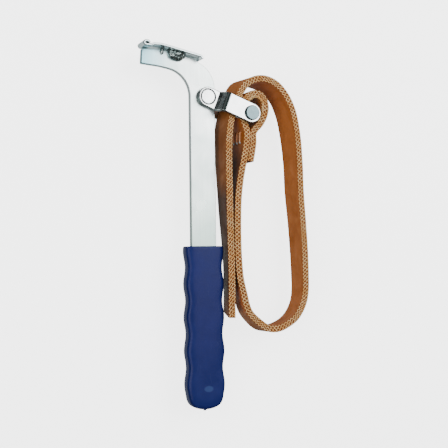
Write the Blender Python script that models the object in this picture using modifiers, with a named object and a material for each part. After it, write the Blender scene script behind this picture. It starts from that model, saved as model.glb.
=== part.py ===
"""Strap-type oil filter wrench, modelled for Blender 4.5 in metres with +Z up.

The wrench lies flat. The steel handle bar runs along Y with its head at +Y, and every pivot axis is
along Z. The design origin is on the bar's centre line, level with the link rivet, in the bar's middle
plane. At the end the whole wrench is moved so that the world origin is at the middle of its base.
"""
import math

import bmesh
import bpy
from mathutils import Matrix, Vector

MM = 0.001
GAP = 0.3 * MM                      # clearance left between touching pieces

# Handle bar: flat steel, bent over into the head
BAR_WIDTH = 21.0 * MM
BAR_THICKNESS = 5.0 * MM
BAR_END_Y = -246.0 * MM             # end of the bar inside the grip
NECK_INNER_RADIUS = 21.5 * MM
NECK_OUTER_RADIUS = 21.4 * MM

# Saddle: curved steel plate welded across the top of the head, rolled into a lip at one end
SADDLE_THICKNESS = 1.9 * MM
SADDLE_FRONT = 11.5 * MM             # the plate reaches further in front of the bar than behind it
SADDLE_REAR = -4.5 * MM
SADDLE_HIGH = (-31.0, 37.2)         # ends of the straight working run, in millimetres
SADDLE_LOW = (-5.4, 31.75)
LIP_CENTRE = (-49.5, 39.0)
LIP_RADII = (2.1, 1.5)              # millimetres, to the middle of the plate's thickness

# Link: two cranked plates, a flush rivet through the bar and a headed pin for the strap
LINK_PIVOT = (3.4 * MM, -0.1 * MM)
LINK_ANGLE = math.radians(-21.0)
LINK_CENTRES = 36.3 * MM            # rivet axis to strap pin axis
LINK_WIDTH = 16.0 * MM
LINK_THICKNESS = 4.0 * MM
JOG_START = 9.3 * MM
JOG_RUN = 4.2 * MM
JOG_RISE = 10.0 * MM
SHANK_RADIUS = 4.0 * MM
RIVET_HEAD_RADIUS = 5.8 * MM
PIN_HEAD_RADIUS = 6.1 * MM
PIN_HEAD_HEIGHT = 1.8 * MM

# Strap: three canvas plies bonded with rubber, folded back on itself to make an eye round the pin
STRAP_WIDTH = 25.0 * MM
PLY_THICKNESS = 1.55 * MM
PLY_PITCH = PLY_THICKNESS + GAP
STRAP_THICKNESS = 3 * PLY_THICKNESS + 2 * GAP
END_SLANT = 3.5 * MM                # the free end is cut at a slant, shorter at its far corner
DOUBLED_POINTS = 4                  # route points of the main run that the stapled tail lies along

# Staples: copper-washed wire through both layers of the doubled strap
STAPLE_WIRE_RADIUS = 0.75 * MM
STAPLE_CROWN = 9.0 * MM
STAPLE_PITCH = 6.0 * MM
STAPLE_MIDDLE_Y = -32.6 * MM

# Grip: moulded sleeve with shallow finger waves along both sides
GRIP_TOP_Y = -120.7 * MM
GRIP_END_Y = -251.2 * MM
GRIP_HALF_WIDTH = 15.5 * MM
GRIP_HALF_DEPTH = 7.0 * MM
GRIP_WAVE = 0.8 * MM
GRIP_WAVE_LENGTH = 26.7 * MM
GRIP_FIRST_CREST_Y = -124.5 * MM
GRIP_ROUNDING = 13.5 * MM

BAR_FACE = BAR_THICKNESS / 2
LINK_INNER_FACE = BAR_FACE + GAP
LINK_OUTER_FACE = LINK_INNER_FACE + JOG_RISE + LINK_THICKNESS


# ---------------------------------------------------------------- scene and materials

def clear_scene():
    for obj in list(bpy.data.objects):
        bpy.data.objects.remove(obj, do_unlink=True)


def new_collection(name):
    collection = bpy.data.collections.new(name)
    bpy.context.scene.collection.children.link(collection)
    return collection


def make_material(name, colour, roughness, metallic):
    material = bpy.data.materials.new(name)
    material.use_nodes = True
    shader = material.node_tree.nodes["Principled BSDF"]
    shader.inputs["Base Color"].default_value = (*colour, 1.0)
    shader.inputs["Roughness"].default_value = roughness
    shader.inputs["Metallic"].default_value = metallic
    return material


# ---------------------------------------------------------------- outlines and paths

def fillet_path(corners, closed=True, step=math.radians(9.0)):
    """Points of a polygon, or of an open run, whose corners (x, y, radius) are rounded by arcs."""
    points = []
    count = len(corners)
    for index, (x, y, radius) in enumerate(corners):
        here = Vector((x, y))
        at_end = not closed and index in (0, count - 1)
        if radius == 0 or at_end:
            points.append(here)
            continue
        before = (Vector(corners[index - 1][:2]) - here).normalized()
        after = (Vector(corners[(index + 1) % count][:2]) - here).normalized()
        half = before.angle(after) / 2
        centre = here + (before + after).normalized() * (radius / math.sin(half))
        start = here + before * (radius / math.tan(half)) - centre
        turn = math.pi - 2 * half
        if before.x * after.y - before.y * after.x > 0:
            turn = -turn
        steps = max(1, round(abs(turn) / step))
        for k in range(steps + 1):
            angle = turn * k / steps
            rotated = Vector((start.x * math.cos(angle) - start.y * math.sin(angle),
                              start.x * math.sin(angle) + start.y * math.cos(angle)))
            points.append(centre + rotated)
    return [p for k, p in enumerate(points) if k == 0 or (p - points[k - 1]).length > 1e-6]


def path_tangents(points):
    """Direction of a smooth curve at each of its points, weighted by the spans on both sides."""
    last = len(points) - 1
    spans = [(points[k + 1] - points[k]).length for k in range(last)]
    tangents = [(points[1] - points[0]) / spans[0]]
    for k in range(1, last):
        slope_in = (points[k] - points[k - 1]) / spans[k - 1]
        slope_out = (points[k + 1] - points[k]) / spans[k]
        tangents.append((slope_in * spans[k] + slope_out * spans[k - 1]) / (spans[k - 1] + spans[k]))
    tangents.append((points[last] - points[last - 1]) / spans[-1])
    return tangents


def smooth_path(points, step):
    """Samples of a curve through points of any dimension, about one step apart."""
    points = [Vector(p) for p in points]
    tangents = path_tangents(points)
    samples = [points[0]]
    for k in range(len(points) - 1):
        span = (points[k + 1] - points[k]).length
        pieces = max(1, math.ceil(span / step))
        for j in range(1, pieces + 1):
            t = j / pieces
            samples.append(points[k] * (2 * t ** 3 - 3 * t ** 2 + 1)
                           + tangents[k] * span * (t ** 3 - 2 * t ** 2 + t)
                           + points[k + 1] * (3 * t ** 2 - 2 * t ** 3)
                           + tangents[k + 1] * span * (t ** 3 - t ** 2))
    return samples


def in_metres(points):
    return [Vector(p) * MM for p in points]


# ---------------------------------------------------------------- mesh helpers

def link_object(name, mesh, collection, material=None):
    obj = bpy.data.objects.new(name, mesh)
    collection.objects.link(obj)
    if material:
        mesh.materials.append(material)
    return obj


def flat_plate(name, outline, half_thickness, collection, material=None):
    """A flat outline as a filled 2D curve, turned into a welded mesh."""
    curve = bpy.data.curves.new(name, "CURVE")
    curve.dimensions = "2D"
    curve.fill_mode = "BOTH"
    curve.extrude = half_thickness
    spline = curve.splines.new("POLY")
    spline.points.add(len(outline) - 1)
    for point, place in zip(spline.points, outline):
        point.co = (place[0], place[1], 0.0, 1.0)
    spline.use_cyclic_u = True
    source = bpy.data.objects.new(name + "_curve", curve)
    collection.objects.link(source)
    graph = bpy.context.evaluated_depsgraph_get()
    mesh = bpy.data.meshes.new_from_object(source.evaluated_get(graph))
    bpy.data.objects.remove(source, do_unlink=True)
    mesh.name = name
    weld_and_orient(mesh)
    return link_object(name, mesh, collection, material)


def weld_and_orient(mesh):
    bm = bmesh.new()
    bm.from_mesh(mesh)
    bmesh.ops.remove_doubles(bm, verts=bm.verts, dist=1e-6)
    bmesh.ops.recalc_face_normals(bm, faces=bm.faces)
    bm.to_mesh(mesh)
    bm.free()


def ribbon(name, near_edge, far_edge, thickness, collection, material=None):
    """An open strip between two edges, given its thickness by Solidify."""
    bm = bmesh.new()
    near = [bm.verts.new(p) for p in near_edge]
    far = [bm.verts.new(p) for p in far_edge]
    for k in range(len(near) - 1):
        bm.faces.new((near[k], near[k + 1], far[k + 1], far[k]))
    mesh = bpy.data.meshes.new(name)
    bm.to_mesh(mesh)
    bm.free()
    obj = link_object(name, mesh, collection, material)
    solidify = obj.modifiers.new("Thickness", "SOLIDIFY")
    solidify.thickness = thickness
    solidify.offset = 0.0
    solidify.use_even_offset = True
    return obj


def turned(name, profile, segments, collection, material=None):
    """A profile of (radius, z) from top to bottom, turned round Z by Screw."""
    mesh = bpy.data.meshes.new(name)
    places = [(radius, 0.0, z) for radius, z in profile]
    mesh.from_pydata(places, [(k, k + 1) for k in range(len(places) - 1)], [])
    obj = link_object(name, mesh, collection, material)
    screw = obj.modifiers.new("Turn", "SCREW")
    screw.axis = "Z"
    screw.steps = screw.render_steps = segments
    screw.use_merge_vertices = True
    screw.merge_threshold = 1e-5
    screw.use_smooth_shade = True
    return obj


def cut(target, cutter, operation="DIFFERENCE"):
    boolean = target.modifiers.new(operation.title(), "BOOLEAN")
    boolean.operation = operation
    boolean.solver = "EXACT"
    boolean.object = cutter


def as_cutter(obj):
    obj.hide_render = True
    obj.display_type = "WIRE"
    return obj


def cylinder_cutter(name, radius, half_length, collection, segments=24):
    bm = bmesh.new()
    bmesh.ops.create_cone(bm, cap_ends=True, segments=segments, radius1=radius, radius2=radius,
                          depth=2 * half_length)
    mesh = bpy.data.meshes.new(name)
    bm.to_mesh(mesh)
    bm.free()
    return as_cutter(link_object(name, mesh, collection))


def shade_smooth(obj, degrees=35.0):
    obj.data.shade_smooth()
    obj.data.set_sharp_from_angle(angle=math.radians(degrees))


# ---------------------------------------------------------------- handle

def bar_outline():
    half = BAR_WIDTH / 2 / MM
    end = BAR_END_Y / MM
    outer = NECK_OUTER_RADIUS / MM
    inner = NECK_INNER_RADIUS / MM
    corners = [(-half, end, 3.0), (half, end, 3.0),
               (half, 22.0, outer), (-2.6, 27.4, 1.0),
               (-6.2, 30.2, 1.5), (-26.0, 34.7, 8.0), (-36.0, 36.55, 8.0),
               (-50.8, 36.05, 1.2), (-51.5, 24.2, 1.2),
               (-36.0, 22.9, 20.0), (-half, 18.4, inner)]
    return in_metres(fillet_path(corners))


def make_bar(parts, cutters, steel):
    bar = flat_plate("handle_bar", bar_outline(), BAR_THICKNESS / 2, parts, steel)
    hole = cylinder_cutter("rivet_hole_cutter", SHANK_RADIUS + GAP, BAR_THICKNESS, cutters)
    hole.location = (*LINK_PIVOT, 0.0)
    cut(bar, hole)
    return bar


def saddle_path():
    """Middle line of the saddle plate, from the bent tip to the end of the rolled lip."""
    tip = [(-2.85, 29.0, 0), (-3.7, 31.35, 1.8)]
    run = [(*SADDLE_LOW, 3.0), (*SADDLE_HIGH, 30.0), (-37.5, 38.5, 8.0), (-43.0, 38.4, 5.0),
           (-46.9, 37.5, 4.0)]
    lip = []
    for k in range(19):
        angle = math.radians(-90.0 - 15.0 * k)
        lip.append(Vector((LIP_CENTRE[0] + LIP_RADII[0] * math.cos(angle),
                           LIP_CENTRE[1] + LIP_RADII[1] * math.sin(angle))))
    plate = fillet_path(tip + run + [(*lip[0], 0)], closed=False)
    return in_metres(plate[:-1] + lip)


def make_saddle(parts, steel):
    path = saddle_path()
    near = [Vector((p.x, p.y, SADDLE_FRONT)) for p in path]
    far = [Vector((p.x, p.y, SADDLE_REAR)) for p in path]
    saddle = ribbon("saddle_plate", near, far, SADDLE_THICKNESS, parts, steel)
    shade_smooth(saddle)
    return saddle


def weld_zone(name, side, collection):
    """The space under the saddle and beside the bar's face that weld metal can fill."""
    (x0, y0), (x1, y1) = SADDLE_HIGH, SADDLE_LOW
    slope = (y1 - y0) / (x1 - x0)
    below = (SADDLE_THICKNESS / 2 + GAP) / MM / math.cos(math.atan(slope))
    left, right, bottom = -40.0, -8.0, 20.0

    def underside(x):
        return y0 + slope * (x - x0) - below
    outline = in_metres([(left, underside(left)), (left, bottom), (right, bottom),
                         (right, underside(right))])
    depth = 6.0 * MM
    zone = flat_plate(name, outline, depth, collection)
    zone.location.z = side * (BAR_FACE + GAP + depth)
    return as_cutter(zone)


def make_weld(name, centre, radii, side, lumps, zone, parts, steel):
    """A rounded lump of weld metal with a rippled surface, trimmed to the weld zone."""
    bm = bmesh.new()
    bmesh.ops.create_uvsphere(bm, u_segments=18, v_segments=10, radius=1.0)
    for vert in bm.verts:
        spot = vert.co.copy()
        swell = 1.0 + 0.05 * math.sin(lumps * spot.x + 0.7) * math.cos(1.7 * lumps * spot.y)
        vert.co = Vector((spot.x * radii[0], spot.y * radii[1], spot.z * radii[2])) * swell * MM
    mesh = bpy.data.meshes.new(name)
    bm.to_mesh(mesh)
    bm.free()
    weld = link_object(name, mesh, parts, steel)
    weld.location = (centre[0] * MM, centre[1] * MM, side * BAR_FACE)
    cut(weld, zone, "INTERSECT")
    return weld


def grip_ring(y, half_width, half_depth, segments=20):
    """One cross-section of the grip, a box with well rounded corners."""
    power = 0.42
    ring = []
    for k in range(segments):
        angle = 2 * math.pi * (k + 0.5) / segments
        x = half_width * math.copysign(abs(math.cos(angle)) ** power, math.cos(angle))
        z = half_depth * math.copysign(abs(math.sin(angle)) ** power, math.sin(angle))
        ring.append((x, y, z))
    return ring


def grip_section(y):
    """Half width and half depth of the grip at y, with the waves and the rounded end."""
    wave = math.cos(2 * math.pi * (y - GRIP_FIRST_CREST_Y) / GRIP_WAVE_LENGTH)
    half_width = GRIP_HALF_WIDTH + GRIP_WAVE * wave
    into_end = max(0.0, 1.0 - (y - GRIP_END_Y) / GRIP_ROUNDING)
    rounding = math.sqrt(max(0.0, 1.0 - into_end ** 2.8))
    return half_width * rounding, GRIP_HALF_DEPTH * (0.45 + 0.55 * rounding)


def make_grip(parts, cutters, vinyl):
    stations = 46
    levels = [GRIP_TOP_Y + (GRIP_END_Y + GRIP_ROUNDING / 2 - GRIP_TOP_Y) * k / stations
              for k in range(stations + 1)]
    levels += [GRIP_END_Y + GRIP_ROUNDING / 2 * share for share in (0.7, 0.45, 0.25, 0.12, 0.04)]
    bm = bmesh.new()
    rings = [[bm.verts.new(p) for p in grip_ring(y, *grip_section(y))] for y in levels]
    for upper, lower in zip(rings, rings[1:]):
        for k in range(len(upper)):
            following = (k + 1) % len(upper)
            bm.faces.new((upper[k], upper[following], lower[following], lower[k]))
    bm.faces.new(rings[0])
    bm.faces.new(rings[-1])
    bmesh.ops.recalc_face_normals(bm, faces=bm.faces)
    mesh = bpy.data.meshes.new("grip_sleeve")
    bm.to_mesh(mesh)
    bm.free()
    grip = link_object("grip_sleeve", mesh, parts, vinyl)
    bottom = BAR_END_Y - GAP
    top = GRIP_TOP_Y + 5 * MM
    half = BAR_WIDTH / 2 + GAP
    pocket = flat_plate("bar_pocket_cutter", [(-half, bottom), (half, bottom), (half, top), (-half, top)],
                        BAR_THICKNESS / 2 + GAP, cutters)
    cut(grip, as_cutter(pocket))
    shade_smooth(grip)
    return grip


# ---------------------------------------------------------------- link

def make_link_plate(name, side, parent, parts, cutters, steel):
    """A strip cranked outwards past the bar, trimmed to round ends, in the link's own frame."""
    half = LINK_WIDTH / 2
    low = LINK_INNER_FACE + LINK_THICKNESS / 2
    high = low + JOG_RISE
    reach = LINK_CENTRES + half + 1 * MM
    bend = 2.1 * MM
    profile = fillet_path([(-half - 1 * MM, low, 0), (JOG_START, low, bend),
                           (JOG_START + JOG_RUN, high, bend), (reach, high, 0)],
                          closed=False, step=math.radians(15.0))
    near = [Vector((p.x, half + 1 * MM, side * p.y)) for p in profile]
    far = [Vector((p.x, -half - 1 * MM, side * p.y)) for p in profile]
    plate = ribbon(name, near, far, LINK_THICKNESS, parts, steel)
    outline = fillet_path([(-half, half, half), (-half, -half, half),
                           (LINK_CENTRES + half, -half, half), (LINK_CENTRES + half, half, half)])
    trim = as_cutter(flat_plate(name + "_trim", outline, 30 * MM, cutters))
    cut(plate, trim, "INTERSECT")

    outer, inner = low + LINK_THICKNESS / 2, LINK_INNER_FACE
    beyond = 0.5 * MM
    flare = (RIVET_HEAD_RADIUS - SHANK_RADIUS) * beyond / LINK_THICKNESS
    sink = turned(name + "_countersink_cutter",
                  [(0.0, outer + beyond), (RIVET_HEAD_RADIUS + GAP + flare, outer + beyond),
                   (SHANK_RADIUS + GAP - flare, inner - beyond), (0.0, inner - beyond)], 24, cutters)
    as_cutter(sink)
    hole = cylinder_cutter(name + "_pin_hole_cutter", SHANK_RADIUS + GAP, LINK_THICKNESS, cutters)
    hole.location = (LINK_CENTRES, 0.0, side * high)
    if side < 0:
        sink.rotation_euler.x = math.pi
    for cutter in (sink, hole):
        cut(plate, cutter)
    for piece in (plate, trim, sink, hole):
        piece.parent = parent
    return plate


def make_rivet(parent, parts, steel):
    """Flush rivet: two countersunk heads on one shank."""
    inner = LINK_INNER_FACE
    outer = inner + LINK_THICKNESS
    half = [(0.0, outer), (RIVET_HEAD_RADIUS, outer), (SHANK_RADIUS, inner)]
    profile = half + [(radius, -z) for radius, z in reversed(half)]
    rivet = turned("link_rivet", profile, 24, parts, steel)
    rivet.parent = parent
    return rivet


def make_strap_pin(parent, parts, steel):
    """Headed pin through both raised plates, with a chamfered head on each side."""
    seat = LINK_OUTER_FACE + GAP
    crown = seat + PIN_HEAD_HEIGHT
    chamfer = 0.7 * MM
    half = [(0.0, crown), (PIN_HEAD_RADIUS - chamfer, crown), (PIN_HEAD_RADIUS, crown - chamfer),
            (PIN_HEAD_RADIUS, seat), (SHANK_RADIUS, seat)]
    profile = half + [(radius, -z) for radius, z in reversed(half)]
    pin = turned("strap_pin", profile, 24, parts, steel)
    pin.location = (LINK_CENTRES, 0.0, 0.0)
    pin.parent = parent
    return pin


# ---------------------------------------------------------------- strap

# Stored route of the strap's middle line, in millimetres: x, y, and how far the far edge leans
# towards the inside of the loop. It leaves the eye, runs down, round the bottom, up the right side,
# over the top and between the link plates, then down beside the handle to its free end.
EYE_ROUTE = [(47.0, -20.6, 0), (50.5, -14.0, 0), (51.8, -6.6, 0), (49.8, -0.2, 0), (44.8, 3.4, 0),
             (39.6, 3.1, 0), (34.8, -0.7, 0), (31.4, -6.6, 0), (30.2, -13.1, 0), (32.4, -20.5, 0)]
MAIN_ROUTE = [(34.8, -28.0, 0), (34.5, -36.0, 0), (33.2, -44.0, 0), (31.8, -50.9, 0),
              (30.0, -64.0, 2.0), (29.0, -78.0, 4.2), (28.5, -97.0, 5.4), (28.45, -118.0, 5.5),
              (28.8, -133.0, 5.2), (30.1, -147.5, 5.0), (32.3, -158.3, 4.4), (36.95, -174.8, 2.8),
              (43.45, -182.0, 1.2), (52.4, -188.3, 0), (60.1, -189.2, -0.9), (69.8, -186.1, -1.9),
              (77.3, -181.2, -2.2), (82.4, -174.5, -2.4), (85.8, -166.5, -2.2), (87.2, -157.1, -1.8),
              (87.2, -146.0, -1.4), (86.85, -132.0, -1.0), (85.2, -104.0, -0.6), (82.9, -75.0, 0.3),
              (82.0, -50.0, 0.8), (79.6, -27.0, 1.8), (75.2, -7.8, 2.2), (69.5, 3.5, 1.8),
              (60.5, 12.1, 2.3), (50.0, 15.7, 1.5), (41.0, 15.2, -0.8), (33.3, 11.2, -2.5),
              (28.0, 2.9, -2.0), (23.8, -8.4, -1.0), (20.3, -19.6, -1.1), (18.9, -32.0, -0.5),
              (18.8, -49.0, 0.4), (19.7, -76.0, 1.9), (20.5, -97.0, 3.2), (21.7, -118.0, 4.6),
              (22.5, -137.0, 5.5), (22.45, -178.6, 5.5)]


def strap_route():
    """The whole middle line: the stapled tail, the eye, and the long run to the free end."""
    pitch = (STRAP_THICKNESS + 2 * GAP) / MM
    main = [Vector(p) for p in MAIN_ROUTE]
    tail = []
    for place, along in list(zip(main, path_tangents(main)))[:DOUBLED_POINTS]:
        tail.append(place + Vector((-along.y, along.x, 0)).normalized() * pitch)
    whole = list(reversed(tail)) + [Vector(p) for p in EYE_ROUTE] + main
    return in_metres(smooth_path(whole, 5.2))


def strap_frames():
    """Places, sideways directions and leans along the strap's middle line."""
    route = strap_route()
    frames = []
    for k, place in enumerate(route):
        along = route[min(k + 1, len(route) - 1)] - route[max(k - 1, 0)]
        across = Vector((-along.y, along.x, 0.0)).normalized()
        frames.append((Vector((place.x, place.y, 0.0)), across, place.z))
    return frames


def make_ply(name, offset, parent, parts, canvas):
    """One ply: a ribbon set off from the strap's middle line, tilted by the lean."""
    half = STRAP_WIDTH / 2
    near, far = [], []
    for place, across, lean in strap_frames():
        tilt = math.atan2(lean, STRAP_WIDTH)
        width_way = Vector((0, 0, -1)) * math.cos(tilt) + across * math.sin(tilt)
        thick_way = across * math.cos(tilt) + Vector((0, 0, 1)) * math.sin(tilt)
        middle = place + thick_way * offset
        near.append(middle - width_way * half)
        far.append(middle + width_way * half)
    _, across, _ = strap_frames()[-1]
    far[-1] -= Vector((across.y, -across.x, 0.0)) * END_SLANT
    ply = ribbon(name, near, far, PLY_THICKNESS, parts, canvas)
    shade_smooth(ply)
    hold_at_pin(ply, parent)
    return ply


def hold_at_pin(obj, parent):
    """Parents a piece drawn in the design frame to the strap pin's axis."""
    obj.parent = parent
    obj.matrix_parent_inverse = Matrix.Translation(-parent.location)


def staple_frame():
    """Middle of the doubled strap at the staples, with the directions along and across it."""
    frames = [f for f in strap_frames() if 26 * MM < f[0].x < 36 * MM and f[0].y < -24 * MM]
    place, across, _ = min(frames, key=lambda f: abs(f[0].y - STAPLE_MIDDLE_Y))
    along = Vector((across.y, -across.x, 0.0))
    middle = place + along * ((STAPLE_MIDDLE_Y - place.y) / along.y)
    return middle, along, across


def make_staples(parent, parts, cutters, wire_steel, plies):
    middle, along, across = staple_frame()
    clear = STRAP_THICKNESS / 2 + GAP + STAPLE_WIRE_RADIUS
    crown_side = middle - across * (clear + 0.25 * MM)
    clinch_side = middle + across * (STRAP_THICKNESS + GAP + clear + 0.25 * MM)
    half = STAPLE_CROWN / 2
    bend = 1.1 * MM
    holes = bmesh.new()
    for index, name in enumerate(("staple_near", "staple_middle", "staple_far")):
        level = Vector((0, 0, (1 - index) * STAPLE_PITCH))
        route = [clinch_side + along * (half - 3.4 * MM), clinch_side + along * (half - bend),
                 clinch_side + along * half - across * bend, crown_side + along * half + across * bend,
                 crown_side + along * (half - bend), crown_side - along * (half - bend),
                 crown_side - along * half + across * bend, clinch_side - along * half - across * bend,
                 clinch_side - along * (half - bend), clinch_side - along * (half - 3.4 * MM)]
        curve = bpy.data.curves.new(name, "CURVE")
        curve.dimensions = "3D"
        curve.bevel_depth = STAPLE_WIRE_RADIUS
        curve.bevel_resolution = 1
        curve.use_fill_caps = True
        spline = curve.splines.new("POLY")
        spline.points.add(len(route) - 1)
        for point, place in zip(spline.points, route):
            point.co = (*(place + level), 1.0)
        staple = bpy.data.objects.new(name, curve)
        curve.materials.append(wire_steel)
        parts.objects.link(staple)
        hold_at_pin(staple, parent)
        for end in (-1, 1):
            centre = (crown_side + clinch_side) / 2 + along * (half * end) + level
            turn = Vector((0, 0, 1)).rotation_difference(across).to_matrix().to_4x4()
            bmesh.ops.create_cone(holes, cap_ends=True, segments=10,
                                  radius1=STAPLE_WIRE_RADIUS + GAP, radius2=STAPLE_WIRE_RADIUS + GAP,
                                  depth=16 * MM, matrix=Matrix.Translation(centre) @ turn)
    mesh = bpy.data.meshes.new("staple_hole_cutters")
    holes.to_mesh(mesh)
    holes.free()
    cutter = as_cutter(link_object("staple_hole_cutters", mesh, cutters))
    hold_at_pin(cutter, parent)
    for ply in plies:
        cut(ply, cutter)


# ---------------------------------------------------------------- assembly

def new_empty(name, location, parent, collection):
    empty = bpy.data.objects.new(name, None)
    collection.objects.link(empty)
    empty.location = location
    empty.parent = parent
    return empty


def world_bounds(collection):
    graph = bpy.context.evaluated_depsgraph_get()
    low, high = [math.inf] * 3, [-math.inf] * 3
    for obj in collection.objects:
        if obj.type == "EMPTY":
            continue
        solid = obj.evaluated_get(graph)
        mesh = solid.to_mesh()
        for vert in mesh.vertices:
            place = solid.matrix_world @ vert.co
            low = [min(a, b) for a, b in zip(low, place)]
            high = [max(a, b) for a, b in zip(high, place)]
        solid.to_mesh_clear()
    return Vector(low), Vector(high)


def main():
    clear_scene()
    parts = new_collection("oil_filter_wrench")
    cutters = new_collection("cutters")
    zinc = make_material("zinc_plated_steel", (0.72, 0.76, 0.76), 0.28, 1.0)
    link_steel = make_material("link_steel", (0.78, 0.80, 0.80), 0.22, 1.0)
    weld_steel = make_material("weld_metal", (0.35, 0.40, 0.40), 0.35, 1.0)
    vinyl = make_material("blue_vinyl", (0.02, 0.035, 0.16), 0.35, 0.0)
    canvas = make_material("rubbered_canvas", (0.45, 0.19, 0.06), 0.8, 0.0)
    copper = make_material("copper_washed_wire", (0.80, 0.48, 0.32), 0.3, 1.0)

    frame = new_empty("wrench_frame", (0, 0, 0), None, parts)
    link_axis = new_empty("link_pivot_axis", (*LINK_PIVOT, 0), frame, parts)
    link_axis.rotation_euler.z = LINK_ANGLE
    pin_place = Vector((*LINK_PIVOT, 0)) + Matrix.Rotation(LINK_ANGLE, 3, "Z") @ Vector((LINK_CENTRES, 0, 0))
    strap_axis = new_empty("strap_swing_axis", pin_place, frame, parts)
    bpy.context.view_layer.update()

    handle = [make_bar(parts, cutters, zinc), make_saddle(parts, zinc),
              make_grip(parts, cutters, vinyl)]
    front_zone = weld_zone("front_weld_zone", 1, cutters)
    rear_zone = weld_zone("rear_weld_zone", -1, cutters)
    handle.append(make_weld("weld_bead_front", (-22.3, 33.8), (8.0, 6.5, 5.5), 1, 4.0, front_zone,
                            parts, weld_steel))
    handle.append(make_weld("weld_tack_front", (-34.6, 35.0), (1.8, 3.2, 2.2), 1, 2.0, front_zone,
                            parts, weld_steel))
    handle.append(make_weld("weld_bead_rear", (-21.0, 33.8), (9.0, 5.0, 2.8), -1, 4.6, rear_zone,
                            parts, weld_steel))
    for cutter in cutters.objects:
        cutter.parent = frame
    for piece in handle:
        piece.parent = frame

    make_link_plate("link_plate_front", 1, link_axis, parts, cutters, link_steel)
    make_link_plate("link_plate_rear", -1, link_axis, parts, cutters, link_steel)
    make_rivet(link_axis, parts, link_steel)
    make_strap_pin(link_axis, parts, link_steel)

    plies = [make_ply("strap_ply_outer", -PLY_PITCH, strap_axis, parts, canvas),
             make_ply("strap_ply_middle", 0.0, strap_axis, parts, canvas),
             make_ply("strap_ply_inner", PLY_PITCH, strap_axis, parts, canvas)]
    make_staples(strap_axis, parts, cutters, copper, plies)

    bpy.context.view_layer.update()
    low, high = world_bounds(parts)
    frame.location = (-(low.x + high.x) / 2, -(low.y + high.y) / 2, -low.z)


main()
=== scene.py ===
import math

import bmesh
import bpy
from mathutils import Matrix, Vector, noise


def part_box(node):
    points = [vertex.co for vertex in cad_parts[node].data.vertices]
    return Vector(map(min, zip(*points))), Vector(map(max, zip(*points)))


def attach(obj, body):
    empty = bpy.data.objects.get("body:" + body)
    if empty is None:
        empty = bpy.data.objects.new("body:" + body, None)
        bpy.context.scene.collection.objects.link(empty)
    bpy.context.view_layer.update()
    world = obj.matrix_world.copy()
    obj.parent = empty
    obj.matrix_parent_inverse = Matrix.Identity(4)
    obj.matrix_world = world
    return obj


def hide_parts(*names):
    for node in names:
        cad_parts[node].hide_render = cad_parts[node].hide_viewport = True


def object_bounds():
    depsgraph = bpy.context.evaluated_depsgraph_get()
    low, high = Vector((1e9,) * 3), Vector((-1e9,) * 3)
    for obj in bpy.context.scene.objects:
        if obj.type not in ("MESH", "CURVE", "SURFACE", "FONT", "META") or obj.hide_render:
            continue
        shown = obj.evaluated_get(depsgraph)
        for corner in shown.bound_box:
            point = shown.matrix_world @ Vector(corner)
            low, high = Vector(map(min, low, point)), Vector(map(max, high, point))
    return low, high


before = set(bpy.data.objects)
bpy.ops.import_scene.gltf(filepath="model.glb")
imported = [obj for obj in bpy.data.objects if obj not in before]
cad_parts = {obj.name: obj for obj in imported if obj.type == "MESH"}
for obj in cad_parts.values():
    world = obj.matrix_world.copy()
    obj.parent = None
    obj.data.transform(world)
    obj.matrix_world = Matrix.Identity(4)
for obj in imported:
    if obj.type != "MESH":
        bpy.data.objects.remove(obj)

bl_info = {
    "name": "Oil Filter Wrench",
    "version": (1, 0, 0),
    "blender": (4, 5, 0),
    "location": "3D View > Sidebar > Wrench",
    "description": "Dresses a strap-type oil filter wrench: plated bar, link, canvas belt and vinyl grip",
    "category": "Object",
}

MM = 0.001
CAD_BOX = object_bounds()

# The design origin is on the bar's centre line, level with the link rivet, in the bar's middle plane.
BAR_LOW, BAR_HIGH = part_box("handle_bar")
ORIGIN = Vector((BAR_HIGH.x - 10.5 * MM, BAR_LOW.y + 246.0 * MM, (BAR_LOW.z + BAR_HIGH.z) / 2))

LINK_PIVOT = Vector((3.4 * MM, -0.1 * MM, 0.0))
LINK_ANGLE = math.radians(-21.0)
LINK_FRAME = Matrix.Translation(ORIGIN + LINK_PIVOT) @ Matrix.Rotation(LINK_ANGLE, 4, "Z")
LINK_CENTRES = 36.3 * MM
LINK_INNER_FACE = 2.8 * MM
LINK_THICKNESS = 4.0 * MM
JOG_START, JOG_RUN, JOG_RISE, JOG_BEND = 9.3, 4.2, 10.0, 2.1

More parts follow.
